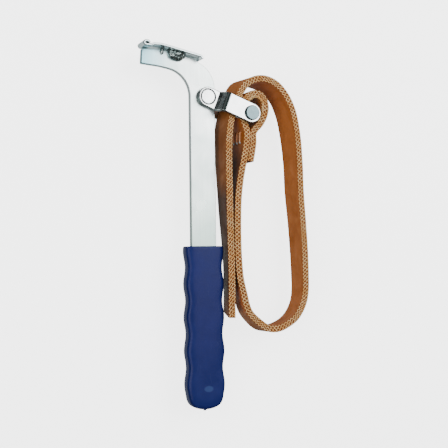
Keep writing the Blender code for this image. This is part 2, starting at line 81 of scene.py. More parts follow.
# Strap route in the design frame, millimetres: x, y, lean of the far edge towards the loop's inside
EYE_ROUTE = [(47.0, -20.6, 0), (50.5, -14.0, 0), (51.8, -6.6, 0), (49.8, -0.2, 0), (44.8, 3.4, 0),
             (39.6, 3.1, 0), (34.8, -0.7, 0), (31.4, -6.6, 0), (30.2, -13.1, 0), (32.4, -20.5, 0)]
MAIN_ROUTE = [(34.8, -28.0, 0), (34.5, -36.0, 0), (33.2, -44.0, 0), (31.8, -50.9, 0),
              (30.0, -64.0, 2.0), (29.0, -78.0, 4.2), (28.5, -97.0, 5.4), (28.45, -118.0, 5.5),
              (28.8, -133.0, 5.2), (30.1, -147.5, 5.0), (32.3, -158.3, 4.4), (36.95, -174.8, 2.8),
              (43.45, -182.0, 1.2), (52.4, -188.3, 0), (60.1, -189.2, -0.9), (69.8, -186.1, -1.9),
              (77.3, -181.2, -2.2), (82.4, -174.5, -2.4), (85.8, -166.5, -2.2), (87.2, -157.1, -1.8),
              (87.2, -146.0, -1.4), (86.85, -132.0, -1.0), (85.2, -104.0, -0.6), (82.9, -75.0, 0.3),
              (82.0, -50.0, 0.8), (79.6, -27.0, 1.8), (75.2, -7.8, 2.2), (69.5, 3.5, 1.8),
              (60.5, 12.1, 2.3), (50.0, 15.7, 1.5), (41.0, 15.2, -0.8), (33.3, 11.2, -2.5),
              (28.0, 2.9, -2.0), (23.8, -8.4, -1.0), (20.3, -19.6, -1.1), (18.9, -32.0, -0.5),
              (18.8, -49.0, 0.4), (19.7, -76.0, 1.9), (20.5, -97.0, 3.2), (21.7, -118.0, 4.6),
              (22.5, -137.0, 5.5), (22.45, -178.6, 5.5)]
STRAP_WIDTH = 25.0
STRAP_THICKNESS = 5.25
PLY_PITCH = 1.85
GAP = 0.3
END_SLANT = 3.5                     # the far corner of the free end is cut this much shorter
DOUBLED_POINTS = 4
CAD_ROUTE_STEP = 5.2
FINE_STEPS = 4                      # samples of the finished belt for each sample of the CAD belt


# ---------------------------------------------------------------- settings

class WrenchMetalSettings(bpy.types.PropertyGroup):
    """Sizes and colours of the plated steel parts"""
    zinc_colour: bpy.props.FloatVectorProperty(
        name="Zinc colour", description="Colour of the zinc-plated bar and saddle",
        subtype="COLOR", size=3, min=0.0, max=1.0, default=(0.84, 0.88, 0.875))
    link_colour: bpy.props.FloatVectorProperty(
        name="Link colour", description="Colour of the bright link plates",
        subtype="COLOR", size=3, min=0.0, max=1.0, default=(0.88, 0.89, 0.90))
    pin_colour: bpy.props.FloatVectorProperty(
        name="Pin colour", description="Colour of the blue-grey strap pin",
        subtype="COLOR", size=3, min=0.0, max=1.0, default=(0.125, 0.18, 0.195))
    copper_colour: bpy.props.FloatVectorProperty(
        name="Copper colour", description="Colour of the copper-washed staple wire",
        subtype="COLOR", size=3, min=0.0, max=1.0, default=(0.92, 0.50, 0.25))
    edge_radius: bpy.props.FloatProperty(
        name="Edge radius", description="Radius on the edges of the steel plates",
        subtype="DISTANCE", unit="LENGTH", default=0.35 * MM, min=0.05 * MM, max=0.9 * MM)


class WrenchGripSettings(bpy.types.PropertyGroup):
    """Sizes and colour of the moulded grip"""
    vinyl_colour: bpy.props.FloatVectorProperty(
        name="Vinyl colour", description="Colour of the moulded vinyl",
        subtype="COLOR", size=3, min=0.0, max=1.0, default=(0.007, 0.012, 0.095))
    half_width: bpy.props.FloatProperty(
        name="Half width", description="Mean half width of the grip",
        subtype="DISTANCE", unit="LENGTH", default=15.5 * MM)
    half_depth: bpy.props.FloatProperty(
        name="Half depth", description="Half depth of the grip",
        subtype="DISTANCE", unit="LENGTH", default=7.0 * MM)
    wave: bpy.props.FloatProperty(
        name="Finger wave", description="Height of the finger waves",
        subtype="DISTANCE", unit="LENGTH", default=0.8 * MM)
    wave_length: bpy.props.FloatProperty(
        name="Wave length", description="Distance between finger waves",
        subtype="DISTANCE", unit="LENGTH", default=26.7 * MM)


class WrenchStrapSettings(bpy.types.PropertyGroup):
    """Sizes and colours of the canvas strap"""
    canvas_colour: bpy.props.FloatVectorProperty(
        name="Canvas colour", description="Colour of the rubbered canvas faces",
        subtype="COLOR", size=3, min=0.0, max=1.0, default=(0.47, 0.145, 0.024))
    edge_colour: bpy.props.FloatVectorProperty(
        name="Edge colour", description="Colour of the cut edges between the threads",
        subtype="COLOR", size=3, min=0.0, max=1.0, default=(0.25, 0.07, 0.012))
    thread_colour: bpy.props.FloatVectorProperty(
        name="Thread colour", description="Colour of the cut cotton threads",
        subtype="COLOR", size=3, min=0.0, max=1.0, default=(1.0, 0.71, 0.35))
    thread_radius: bpy.props.FloatProperty(
        name="Thread radius", description="Radius of the threads along the cut edges",
        subtype="DISTANCE", unit="LENGTH", default=0.25 * MM)
    thread_wave: bpy.props.FloatProperty(
        name="Thread wave length", description="Length of one zigzag of an edge thread",
        subtype="DISTANCE", unit="LENGTH", default=3.1 * MM)
    thread_sway: bpy.props.FloatProperty(
        name="Thread sway", description="How far an edge thread swings to each side",
        subtype="DISTANCE", unit="LENGTH", default=0.72 * MM)


class WrenchStageSettings(bpy.types.PropertyGroup):
    """Floor, lights and camera"""
    floor_colour: bpy.props.FloatVectorProperty(
        name="Floor colour", description="Colour of the plain floor",
        subtype="COLOR", size=3, min=0.0, max=1.0, default=(0.86, 0.86, 0.86))
    floor_glow: bpy.props.FloatProperty(
        name="Floor glow", description="Light given off by the floor itself", default=3.3)
    key_strength: bpy.props.FloatProperty(
        name="Key strength", description="Power of the overhead soft light in watts", default=19.0)
    side_strength: bpy.props.FloatProperty(
        name="Side strength", description="Power of the gloss light at the left in watts", default=7.0)
    head_strength: bpy.props.FloatProperty(
        name="Head strength", description="Power of the small light mirrored under the saddle in watts",
        default=0.5)
    fill_strength: bpy.props.FloatProperty(
        name="Fill strength", description="Power of the fill light at the upper left in watts", default=7.0)
    sky_strength: bpy.props.FloatProperty(
        name="Sky strength", description="Brightness of the surroundings overhead", default=1.0)


def settings(kind):
    return getattr(bpy.context.scene, "wrench_" + kind)


# ---------------------------------------------------------------- paths

def fillet_path(corners, closed=True, step=math.radians(4.0)):
    """Points of a polygon, or of an open run, whose corners (x, y, radius) are rounded by arcs."""
    points = []
    count = len(corners)
    for index, (x, y, radius) in enumerate(corners):
        here = Vector((x, y))
        at_end = not closed and index in (0, count - 1)
        if radius == 0 or at_end:
            points.append(here)
            continue
        before = (Vector(corners[index - 1][:2]) - here).normalized()
        after = (Vector(corners[(index + 1) % count][:2]) - here).normalized()
        half = before.angle(after) / 2
        centre = here + (before + after).normalized() * (radius / math.sin(half))
        start = here + before * (radius / math.tan(half)) - centre
        turn = math.pi - 2 * half
        if before.x * after.y - before.y * after.x > 0:
            turn = -turn
        steps = max(1, round(abs(turn) / step))
        for k in range(steps + 1):
            angle = turn * k / steps
            points.append(centre + Matrix.Rotation(angle, 2) @ start)
    return [p for k, p in enumerate(points) if k == 0 or (p - points[k - 1]).length > 1e-6]


def path_tangents(points):
    """Direction of a smooth curve at each of its points, weighted by the spans on both sides."""
    last = len(points) - 1
    spans = [(points[k + 1] - points[k]).length for k in range(last)]
    tangents = [(points[1] - points[0]) / spans[0]]
    for k in range(1, last):
        slope_in = (points[k] - points[k - 1]) / spans[k - 1]
        slope_out = (points[k + 1] - points[k]) / spans[k]
        tangents.append((slope_in * spans[k] + slope_out * spans[k - 1]) / (spans[k - 1] + spans[k]))
    tangents.append((points[last] - points[last - 1]) / spans[-1])
    return tangents


def smooth_path(points, step, finer=1):
    """Samples of a curve through points of any dimension, about one step apart, or finer."""
    points = [Vector(p) for p in points]
    tangents = path_tangents(points)
    samples = [points[0]]
    for k in range(len(points) - 1):
        span = (points[k + 1] - points[k]).length
        pieces = max(1, math.ceil(span / step)) * finer
        for j in range(1, pieces + 1):
            t = j / pieces
            samples.append(points[k] * (2 * t ** 3 - 3 * t ** 2 + 1)
                           + tangents[k] * span * (t ** 3 - 2 * t ** 2 + t)
                           + points[k + 1] * (3 * t ** 2 - 2 * t ** 3)
                           + tangents[k + 1] * span * (t ** 3 - t ** 2))
    return samples


# ---------------------------------------------------------------- meshes

def new_object(name, mesh, material=None):
    obj = bpy.data.objects.new(name, mesh)
    bpy.context.scene.collection.objects.link(obj)
    if material:
        mesh.materials.append(material)
    return obj


def mesh_from_bmesh(name, bm, smooth=True):
    mesh = bpy.data.meshes.new(name)
    bm.to_mesh(mesh)
    bm.free()
    if smooth:
        mesh.shade_smooth()
    return mesh


def bake_modifiers(obj):
    """Turns an object with modifiers into a plain mesh."""
    graph = bpy.context.evaluated_depsgraph_get()
    mesh = bpy.data.meshes.new_from_object(obj.evaluated_get(graph), depsgraph=graph)
    mesh.name = obj.name
    old = obj.data
    obj.modifiers.clear()
    obj.data = mesh
    if old.users == 0:
        bpy.data.meshes.remove(old)
    return obj


def even_normals(obj, degrees=40.0):
    """Smooth shading in which the large flat faces stay flat."""
    obj.data.shade_smooth()
    obj.data.set_sharp_from_angle(angle=math.radians(degrees))
    weighted = obj.modifiers.new("Normals", "WEIGHTED_NORMAL")
    weighted.mode = "FACE_AREA"
    weighted.weight = 100
    weighted.keep_sharp = True
    return bake_modifiers(obj)


FLAT_AT, UPRIGHT_AT = 0.98, 0.2     # of a face normal's Z: above is a flat face, below is an upright wall
# Painted shade on a crank's slope: this much over most of it, near black over its last SLOPE_FOOT
# millimetres
SLOPE_DARKNESS, SLOPE_FOOT, SLOPE_FOOT_DARKNESS = 0.42, 1.1, 0.97


def mark_painted_edge_shade(obj, wall, border, matrix=None, bend=None, lit_side=False):
    """Stores on each face how much painted shade darkens it, standing in for dark reflections: upright
    walls, rounded borders, and a crank's slope.
    """
    shade = obj.data.attributes.new("painted_edge_shade", "FLOAT", "FACE")
    into = matrix.inverted() if matrix else Matrix.Identity(4)
    for face in obj.data.polygons:
        upright = abs(face.normal.z)
        value = wall if upright <= UPRIGHT_AT else border if upright < FLAT_AT else 0.0
        if lit_side and upright > UPRIGHT_AT and face.normal.x < -0.25:
            value = 0.0
        if bend:
            along = (into @ face.center).x / MM
            facing = (into.to_3x3() @ face.normal).x
            if bend[0] < along < bend[1] and facing < -0.25:
                value = SLOPE_DARKNESS if along < bend[1] - SLOPE_FOOT else SLOPE_FOOT_DARKNESS
        shade.data[face.index].value = value
    return obj


def rounded_plate(name, outline, holes, half_thickness, edge_radius, material=None):
    """A flat plate in metres with rounded edges, from an outline and round holes (x, y, radius)."""
    curve = bpy.data.curves.new(name, "CURVE")
    curve.dimensions = "2D"
    curve.fill_mode = "BOTH"
    curve.extrude = half_thickness - edge_radius
    curve.bevel_depth = edge_radius
    curve.bevel_resolution = 2
    curve.offset = -edge_radius
    loops = [outline]
    for x, y, radius in holes:
        loops.append([Vector((x + radius * math.cos(a), y + radius * math.sin(a)))
                      for a in (2 * math.pi * k / 64 for k in range(64))])
    for loop in loops:
        spline = curve.splines.new("POLY")
        spline.points.add(len(loop) - 1)
        for point, place in zip(spline.points, loop):
            point.co = (place[0], place[1], 0.0, 1.0)
        spline.use_cyclic_u = True
    source = bpy.data.objects.new(name + "_outline", curve)
    bpy.context.scene.collection.objects.link(source)
    graph = bpy.context.evaluated_depsgraph_get()
    mesh = bpy.data.meshes.new_from_object(source.evaluated_get(graph))
    bpy.data.objects.remove(source, do_unlink=True)
    mesh.name = name
    mesh.materials.clear()
    bm = bmesh.new()
    bm.from_mesh(mesh)
    bmesh.ops.remove_doubles(bm, verts=bm.verts, dist=1e-7)
    bmesh.ops.recalc_face_normals(bm, faces=bm.faces)
    bm.to_mesh(mesh)
    bm.free()
    return new_object(name, mesh, material)


def ring_of(bm, count, place):
    """Vertices round a circle: place is called with each angle."""
    return [bm.verts.new(place(2 * math.pi * k / count)) for k in range(count)]


def skin(bm, rings):
    """Joins rings of vertices into a surface. A ring of one vertex closes an end with triangles."""
    for one, two in zip(rings, rings[1:]):
        count = max(len(one), len(two))
        for k in range(count):
            n = (k + 1) % count
            corners = (one[k % len(one)], one[n % len(one)], two[n % len(two)], two[k % len(two)])
            bm.faces.new(list(dict.fromkeys(corners)))


def lathe(name, profile, matrix, material, segments=72):
    """A profile of (radius, z) turned round Z into a closed shell, then placed."""
    bm = bmesh.new()
    skin(bm, [ring_of(bm, segments if radius > 1e-7 else 1,
                      lambda a: (radius * math.cos(a), radius * math.sin(a), z)) for radius, z in profile])
    bmesh.ops.recalc_face_normals(bm, faces=bm.faces)
    bm.transform(matrix)
    return even_normals(new_object(name, mesh_from_bmesh(name, bm), material))


def tube(bm, points, radius, sides=10):
    """A round wire with rounded ends along points, added to a bmesh."""
    points = [Vector(p) for p in points]
    tangents = [t.normalized() for t in path_tangents(points)]
    normal = tangents[0].orthogonal().normalized()
    stations = [(points[0] - tangents[0] * radius * 0.45, 0.55), (points[0], 1.0)]
    stations += [(p, 1.0) for p in points[1:]]
    stations.append((points[-1] + tangents[-1] * radius * 0.45, 0.55))
    rings = []
    for (place, share), tangent in zip(stations, [tangents[0]] + tangents + [tangents[-1]]):
        normal = (normal - tangent * normal.dot(tangent)).normalized()
        side = tangent.cross(normal)
        rings.append(ring_of(bm, sides, lambda a: place + (normal * math.cos(a) + side * math.sin(a))
                             * radius * share))
    skin(bm, rings)
    bm.faces.new(list(reversed(rings[0])))
    bm.faces.new(rings[-1])


def finish_piece(obj, body, nodes):
    """The piece stands for its CAD nodes and rides on their body."""
    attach(obj, body)
    if nodes:
        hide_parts(*nodes)
    return obj


# ---------------------------------------------------------------- node helpers

def feed(tree, socket, value):
    """Links a socket to another node's output, or gives it a plain value. None leaves it alone."""
    if isinstance(value, bpy.types.NodeSocket):
        tree.links.new(value, socket)
    elif value is not None:
        socket.default_value = value


def add_node(tree, kind, values=None, **settings_of):
    """A new node, with its settings and then its inputs filled in by name or number."""
    node = tree.nodes.new(kind)
    for key, value in settings_of.items():
        setattr(node, key, value)
    for key, value in (values or {}).items():
        feed(tree, node.inputs[key], value)
    return node


def maths(tree, operation, *values):
    return add_node(tree, "ShaderNodeMath", dict(enumerate(values)), operation=operation).outputs[0]


def vector_maths(tree, operation, *values, output=0):
    node = add_node(tree, "ShaderNodeVectorMath", dict(enumerate(values)), operation=operation)
    return node.outputs[output]


def blend_colour(tree, mode, factor, one, two):
    node = add_node(tree, "ShaderNodeMix", {0: factor}, data_type="RGBA", blend_type=mode)
    for index, value in ((6, one), (7, two)):
        feed(tree, node.inputs[index], (*value[:3], 1.0) if isinstance(value, tuple) else value)
    return node.outputs[2]


def remap(tree, value, low, high, out_low=0.0, out_high=1.0):
    return add_node(tree, "ShaderNodeMapRange", {"Value": value, "From Min": low, "From Max": high,
                                                 "To Min": out_low, "To Max": out_high}).outputs["Result"]


def noise_texture(tree, where, scale, detail=2.0, **values):
    """The grey output of a Noise Texture read at the coordinates."""
    inputs = {"Vector": where, "Scale": scale, "Detail": detail}
    inputs.update((key.title(), value) for key, value in values.items())
    return add_node(tree, "ShaderNodeTexNoise", inputs).outputs["Fac"]


def split_axes(tree, vector):
    return add_node(tree, "ShaderNodeSeparateXYZ", {0: vector}).outputs


def scaled(colour, shares):
    return tuple(min(1.0, c * s) for c, s in zip(colour, shares))


def new_group(name, inputs, outputs):
    """A shader node group that reads a vector and some numbers, with its input sockets and output node."""
    group = bpy.data.node_groups.new(name, "ShaderNodeTree")
    group.interface.new_socket("Vector", in_out="INPUT", socket_type="NodeSocketVector")
    for socket, value in inputs.items():
        made = group.interface.new_socket(socket, in_out="INPUT", socket_type="NodeSocketFloat")
        made.default_value = value
    for socket in outputs:
        group.interface.new_socket(socket, in_out="OUTPUT", socket_type="NodeSocketFloat")
    return group, group.nodes.new("NodeGroupInput").outputs, group.nodes.new("NodeGroupOutput").inputs


def brushed_grain_group():
    """Fine drawn lines along one axis of the coordinates, with a soft cloud over them."""
    group, entry, leave = new_group("Brushed grain", {"Lines": 900.0, "Clouds": 60.0}, ("Lines", "Clouds"))
    drawn_out = vector_maths(group, "MULTIPLY", entry["Vector"], (1.0, 0.025, 0.6))
    feed(group, leave["Lines"], noise_texture(group, drawn_out, entry["Lines"], 4.0, roughness=0.65))
    feed(group, leave["Clouds"], noise_texture(group, entry["Vector"], entry["Clouds"], 5.0,
                                               roughness=0.6, distortion=0.4))
    return group


def scuffs_group():
    """Thin random scratches, and small pits, as two masks."""
    group, entry, leave = new_group("Scuffs", {"Scale": 160.0, "Amount": 0.5}, ("Scratches", "Pits"))
    where = entry["Vector"]
    wobble = add_node(group, "ShaderNodeTexNoise", {"Vector": where, "Scale": 35.0, "Detail": 2.0})
    wobbled = vector_maths(group, "MULTIPLY_ADD", wobble.outputs["Color"], (0.012, 0.012, 0.012), where)
    cells = add_node(group, "ShaderNodeTexVoronoi",
                     {"Vector": vector_maths(group, "MULTIPLY", wobbled, (1.0, 0.16, 0.6)),
                      "Scale": entry["Scale"]}, feature="DISTANCE_TO_EDGE")
    lines = remap(group, cells.outputs["Distance"], 0.0, 0.018, 1.0, 0.0)
    patches = remap(group, noise_texture(group, where, 90.0, 3.0), 0.52, 0.64)
    scratches = maths(group, "MULTIPLY", maths(group, "MULTIPLY", lines, patches), entry["Amount"])
    feed(group, leave["Scratches"], scratches)
    feed(group, leave["Pits"], noise_texture(group, where, 1500.0))
    return group


def canvas_weave_group():
    """A plain weave on a UV map in metres, with its slow blotches and its fine fibres."""
    group, entry, leave = new_group("Canvas weave", {"Threads per metre": 1150.0},
                                    ("Height", "Blotches", "Fibres"))
    axes = split_axes(group, entry["Vector"])
    rate = maths(group, "MULTIPLY", entry["Threads per metre"], math.pi)
    warp, weft = (maths(group, "SINE", maths(group, "MULTIPLY", axes[axis], rate)) for axis in "XY")
    feed(group, leave["Height"], remap(group, maths(group, "MULTIPLY", warp, weft), -1.0, 1.0))
    feed(group, leave["Blotches"], noise_texture(group, entry["Vector"], 75.0, 6.0, roughness=0.62,
                                                 distortion=0.6))
    feed(group, leave["Fibres"], noise_texture(group, entry["Vector"], 1900.0, 3.0, roughness=0.7))
    return group


def place_group(tree, name, maker, values):
    """A shared group's node in a material, made on first use, as its outputs."""
    group = bpy.data.node_groups.get(name) or maker()
    return add_node(tree, "ShaderNodeGroup", values, node_tree=group).outputs


def new_material(name, **shader_values):
    """A material, its tree, its Principled shader and its texture coordinates."""
    material = bpy.data.materials.new(name)
    material.use_nodes = True
    tree = material.node_tree
    shader = tree.nodes["Principled BSDF"]
    for key, value in shader_values.items():
        shader.inputs[key.replace("_", " ").title().replace("Ior", "IOR")].default_value = value
    return material, tree, shader, tree.nodes.new("ShaderNodeTexCoord").outputs


def finish_shader(tree, shader, colour, relief=None, height=0.0, roughness=None):
    """Feeds the shader its colour, its roughness and a bump whose full height is in metres."""
    feed(tree, shader.inputs["Base Color"], colour)
    feed(tree, shader.inputs["Roughness"], roughness)
    if relief:
        bump = add_node(tree, "ShaderNodeBump", {"Height": relief, "Distance": height, "Strength": 1.0})
        feed(tree, shader.inputs["Normal"], bump.outputs[0])


# ---------------------------------------------------------------- materials

# Near-black green mixed into walls, borders and crank slopes as painted shade
PAINTED_EDGE_SHADE = (0.034, 0.062, 0.055)
SCRATCH_GREY = (0.25, 0.27, 0.27)
SHADE_BAND_RAGGED = 0.02                 # metres by which the clouds shift the border of a painted shade band


def metal_material(name, colour, tint, roughness, grain, cloud_scale, turn=0.0, lines=900.0, scuffs=0.5,
                   painted_shade_bands=()):
    """Plated or polished steel with drawn grain, clouds, scuffs, painted shade on walls and borders, and
    painted shade bands.

    Each painted shade band is an axis, the places on it where the band starts and is full, and a colour."""
    material, tree, shader, coords = new_material(name, metallic=1.0, roughness=roughness)
    where = add_node(tree, "ShaderNodeMapping", {"Vector": coords["Object"],
                                                 "Rotation": (0.0, 0.0, turn)}).outputs[0]
    brushed = place_group(tree, "Brushed grain", brushed_grain_group,
                          {"Vector": where, "Lines": lines, "Clouds": cloud_scale})
    scuffed = place_group(tree, "Scuffs", scuffs_group, {"Vector": where, "Amount": scuffs})
    tone = blend_colour(tree, "MIX", remap(tree, brushed["Clouds"], 0.35, 0.65), colour, tint)
    axes = split_axes(tree, coords["Object"])
    # Painted shade bands: each darkens the tone along one axis
    for axis, band_start, full, band_colour in painted_shade_bands:
        place = maths(tree, "MULTIPLY_ADD", brushed["Clouds"], SHADE_BAND_RAGGED, axes[axis])
        tone = blend_colour(tree, "MULTIPLY", remap(tree, place, band_start, full), tone, band_colour)
    lined = blend_colour(tree, "MULTIPLY", 1.0, tone, remap(tree, brushed["Lines"], 0.3, 0.7, 0.93, 1.03))
    scratched = blend_colour(tree, "MIX", maths(tree, "MULTIPLY", scuffed["Scratches"], 0.35), lined,
                             SCRATCH_GREY)
    # Painted shade from the face attribute, streaked a little by the grain
    edge_shade_mask = add_node(tree, "ShaderNodeAttribute", attribute_name="painted_edge_shade").outputs["Fac"]
    streaked = maths(tree, "MULTIPLY", edge_shade_mask, remap(tree, brushed["Lines"], 0.3, 0.7, 0.95, 1.0))
    rough = maths(tree, "ADD",
                  remap(tree, brushed["Clouds"], 0.3, 0.7, roughness - 0.05, roughness + 0.07),
                  maths(tree, "MULTIPLY", scuffed["Scratches"], 0.15))
    relief = maths(tree, "ADD", maths(tree, "MULTIPLY", brushed["Lines"], grain),
                   maths(tree, "MULTIPLY", scuffed["Pits"], 0.15))
    finish_shader(tree, shader, blend_colour(tree, "MIX", streaked, scratched, PAINTED_EDGE_SHADE), relief,
                  0.04 * MM, rough)
    return material


# A painted highlight: a lighter blue oval near the grip's closed end, with no relief of its own
OVAL_PLACE = ORIGIN + Vector((1.0, -234.6, 0.0)) * MM
OVAL_SIZE = (4.2 * MM, 2.6 * MM)
OVAL_PAINTED_HIGHLIGHT = (0.035, 0.070, 0.20)


def vinyl_material(colour):
    """Moulded vinyl with a faint orange peel, dull rubbed patches and a painted highlight oval."""
    material, tree, shader, coords = new_material("blue_vinyl", roughness=0.38, specular_ior_level=0.2)
    where = coords["Object"]
    scuffed = place_group(tree, "Scuffs", scuffs_group, {"Vector": where, "Scale": 90.0, "Amount": 0.4})
    peel = noise_texture(tree, where, 650.0)
    rubbed = noise_texture(tree, where, 55.0, 5.0, roughness=0.6)
    lighter = tuple(min(1.0, c * 1.5 + 0.006) for c in colour)
    tone = blend_colour(tree, "MIX", remap(tree, rubbed, 0.4, 0.7, 0.0, 0.35), colour, lighter)
    scratched = blend_colour(tree, "MIX", maths(tree, "MULTIPLY", scuffed["Scratches"], 0.3), tone,
                             (0.06, 0.09, 0.22))
    wide, tall = OVAL_SIZE
    centred = add_node(tree, "ShaderNodeMapping",
                       {"Vector": where, "Location": (-OVAL_PLACE.x / wide, -OVAL_PLACE.y / tall, 0.0),
                        "Scale": (1 / wide, 1 / tall, 0.0)}).outputs[0]
    reach = vector_maths(tree, "LENGTH", centred, output="Value")
    # Painted highlight: lighter blue inside the oval, fading at its border
    oval_highlight = remap(tree, reach, 0.75, 1.05, 0.55, 0.0)
    finish_shader(tree, shader, blend_colour(tree, "MIX", oval_highlight, scratched, OVAL_PAINTED_HIGHLIGHT), peel, 0.06 * MM,
                  remap(tree, rubbed, 0.3, 0.7, 0.30, 0.46))
    return material


# Dark brown mixed into the canvas as painted shade
PAINTED_SHADE_BROWN = (0.055, 0.022, 0.010)


def canvas_material(colour):
    """Rubbered canvas: a skimmed weave, lightly mottled, and darkened with painted shade where the piece is
    marked shaded.
    """
    material, tree, shader, coords = new_material("belt_canvas", roughness=0.6, specular_ior_level=0.15)
    woven = place_group(tree, "Canvas weave", canvas_weave_group, {"Vector": coords["UV"]})
    tone = blend_colour(tree, "MIX", remap(tree, woven["Blotches"], 0.36, 0.66),
                        scaled(colour, (0.86, 0.82, 0.78)), scaled(colour, (1.10, 1.12, 1.15)))
    grained = blend_colour(tree, "MULTIPLY", 1.0, tone, remap(tree, woven["Fibres"], 0.3, 0.7, 0.88, 1.10))
    ridged = blend_colour(tree, "MULTIPLY", 0.6, grained, remap(tree, woven["Height"], 0.0, 1.0, 0.86, 1.08))
    # Painted shade: the corner attribute mixes the canvas towards dark brown
    painted_shade = add_node(tree, "ShaderNodeAttribute", attribute_name="painted_shade").outputs["Fac"]
    relief = maths(tree, "ADD", woven["Height"], maths(tree, "MULTIPLY", woven["Fibres"], 0.8))
    finish_shader(tree, shader, blend_colour(tree, "MIX", painted_shade, ridged, PAINTED_SHADE_BROWN), relief, 0.09 * MM,
                  remap(tree, woven["Blotches"], 0.3, 0.7, 0.72, 0.48))
    return material


def belt_edge_material(colour):
    """The cut edge: rubber and canvas fibres between the threads."""
    material, tree, shader, coords = new_material("belt_edge", roughness=0.8, specular_ior_level=0.2)
    fibres = noise_texture(tree, coords["Object"], 1400.0, 4.0, roughness=0.7)
    tone = blend_colour(tree, "MIX", remap(tree, fibres, 0.35, 0.6), scaled(colour, (0.42, 0.32, 0.28)),
                        colour)
    finish_shader(tree, shader, tone, fibres, 0.2 * MM)
    return material


def thread_material(name, colour):
    """Twisted cotton thread, cream with a tan soiling."""
    material, tree, shader, coords = new_material(name, roughness=0.85, specular_ior_level=0.2)
    twist = noise_texture(tree, coords["Object"], 3200.0)
    soil = noise_texture(tree, coords["Object"], 160.0, 4.0)
    tone = blend_colour(tree, "MIX", remap(tree, soil, 0.4, 0.62), colour,
                        scaled(colour, (0.86, 0.68, 0.48)))
    shaded = blend_colour(tree, "MULTIPLY", 1.0, tone, remap(tree, twist, 0.3, 0.7, 0.78, 1.12))
    finish_shader(tree, shader, shaded, twist, 0.08 * MM)
    return material


def wire_material(colour, bare_below):
    """Copper-washed wire whose wash has worn off below one level of Y."""
    material, tree, shader, coords = new_material("copper_wire", metallic=0.55, roughness=0.38)
    level = split_axes(tree, coords["Object"])["Y"]
    bare = remap(tree, level, bare_below - 0.6 * MM, bare_below + 0.6 * MM, 1.0, 0.0)
    soil = noise_texture(tree, coords["Object"], 900.0, 3.0)
    copper = blend_colour(tree, "MIX", remap(tree, soil, 0.4, 0.65), colour,
                          scaled(colour, (0.8, 0.7, 0.62)))
    finish_shader(tree, shader, blend_colour(tree, "MIX", bare, copper, (0.62, 0.66, 0.66)))
    feed(tree, shader.inputs["Metallic"], remap(tree, bare, 0.0, 1.0, 0.55, 1.0))
    return material


def floor_material(colour, glow):
    """Matt pale paper with a very slight tooth, lit from below like a light table."""
    material, tree, shader, coords = new_material("floor_paper", roughness=0.95, specular_ior_level=0.0,
                                                  emission_strength=glow)
    shader.inputs["Emission Color"].default_value = (1.0, 1.0, 1.0, 1.0)
    tooth = noise_texture(tree, coords["Object"], 4.0)
    finish_shader(tree, shader, blend_colour(tree, "MULTIPLY", 1.0, colour,
                                             remap(tree, tooth, 0.3, 0.7, 0.995, 1.005)))
    return material


# ---------------------------------------------------------------- handle

BAR_CORNERS = [(-10.5, -246.0, 3.0), (10.5, -246.0, 3.0), (10.5, 22.0, 21.4), (-2.6, 27.4, 1.0),
               (-6.2, 30.2, 1.5), (-26.0, 34.7, 8.0), (-36.0, 36.55, 8.0), (-50.8, 36.05, 1.2),
               (-51.5, 24.2, 1.2), (-36.0, 22.9, 20.0), (-10.5, 18.4, 21.5)]
BAR_HOLE_RADIUS = 4.3 * MM


class WRENCH_OT_bar(bpy.types.Operator):
    """Make the flat steel bar with its bent head"""
    bl_idname = "wrench.bar"
    bl_label = "Bar"

    def execute(self, context):
        metal = settings("metal")
        colour = tuple(metal.zinc_colour)
        # Painted reflection: the plated face darkens and turns green down the bar towards the grip, and
        # turns blue across the head
        painted_shade_bands = (("Y", ORIGIN.y - 35 * MM, ORIGIN.y - 125 * MM, (0.60, 0.74, 0.66)),
                  ("X", ORIGIN.x - 8 * MM, ORIGIN.x - 40 * MM, (0.42, 0.70, 0.80)))
        zinc = metal_material("zinc_bar", colour, scaled(colour, (0.90, 0.955, 0.95)), 0.30, 0.5, 38.0,
                              painted_shade_bands=painted_shade_bands)
        outline = [p * MM for p in fillet_path(BAR_CORNERS)]
        bar = rounded_plate("bar", outline, [(LINK_PIVOT.x, LINK_PIVOT.y, BAR_HOLE_RADIUS)],
                            (BAR_HIGH.z - BAR_LOW.z) / 2, metal.edge_radius, zinc)
        bar.data.transform(Matrix.Translation(ORIGIN))
        even_normals(bar)
        # Painted shade on the bar's walls, and on its borders except those facing left
        mark_painted_edge_shade(bar, 0.48, 0.92, lit_side=True)
        finish_piece(bar, "handle", ["handle_bar"])
        return {"FINISHED"}


LIP_CENTRE = Vector((-49.5, 39.0))
LIP_RADII = (2.1, 1.5)
SADDLE_THICKNESS = 1.9
SADDLE_FRONT, SADDLE_REAR = 11.5, -4.5


def saddle_path():
    """Middle line of the saddle plate, from the bent tip to the end of the rolled lip."""
    lip = []
    for k in range(55):
        angle = math.radians(-90.0 - 5.0 * k)
        lip.append(LIP_CENTRE + Vector((LIP_RADII[0] * math.cos(angle), LIP_RADII[1] * math.sin(angle))))
    corners = [(-2.85, 29.0, 0), (-3.7, 31.35, 1.8), (-5.4, 31.75, 3.0), (-31.0, 37.2, 30.0),
               (-37.5, 38.5, 8.0), (-43.0, 38.4, 5.0), (-46.9, 37.5, 4.0), (*lip[0], 0)]
    path = fillet_path(corners, closed=False)[:-1] + lip
    return [p for k, p in enumerate(path) if k == 0 or (p - path[k - 1]).length > 0.02]


def strip_mesh(name, path, front, rear, columns):
    """An open strip that follows a path and runs across Z."""
    bm = bmesh.new()
    rows = []
    for p in path:
        rows.append([bm.verts.new((p.x * MM, p.y * MM, (front + (rear - front) * c / columns) * MM))
                     for c in range(columns + 1)])
    for one, two in zip(rows, rows[1:]):
        for c in range(columns):
            bm.faces.new((one[c], two[c], two[c + 1], one[c + 1]))
    return mesh_from_bmesh(name, bm)


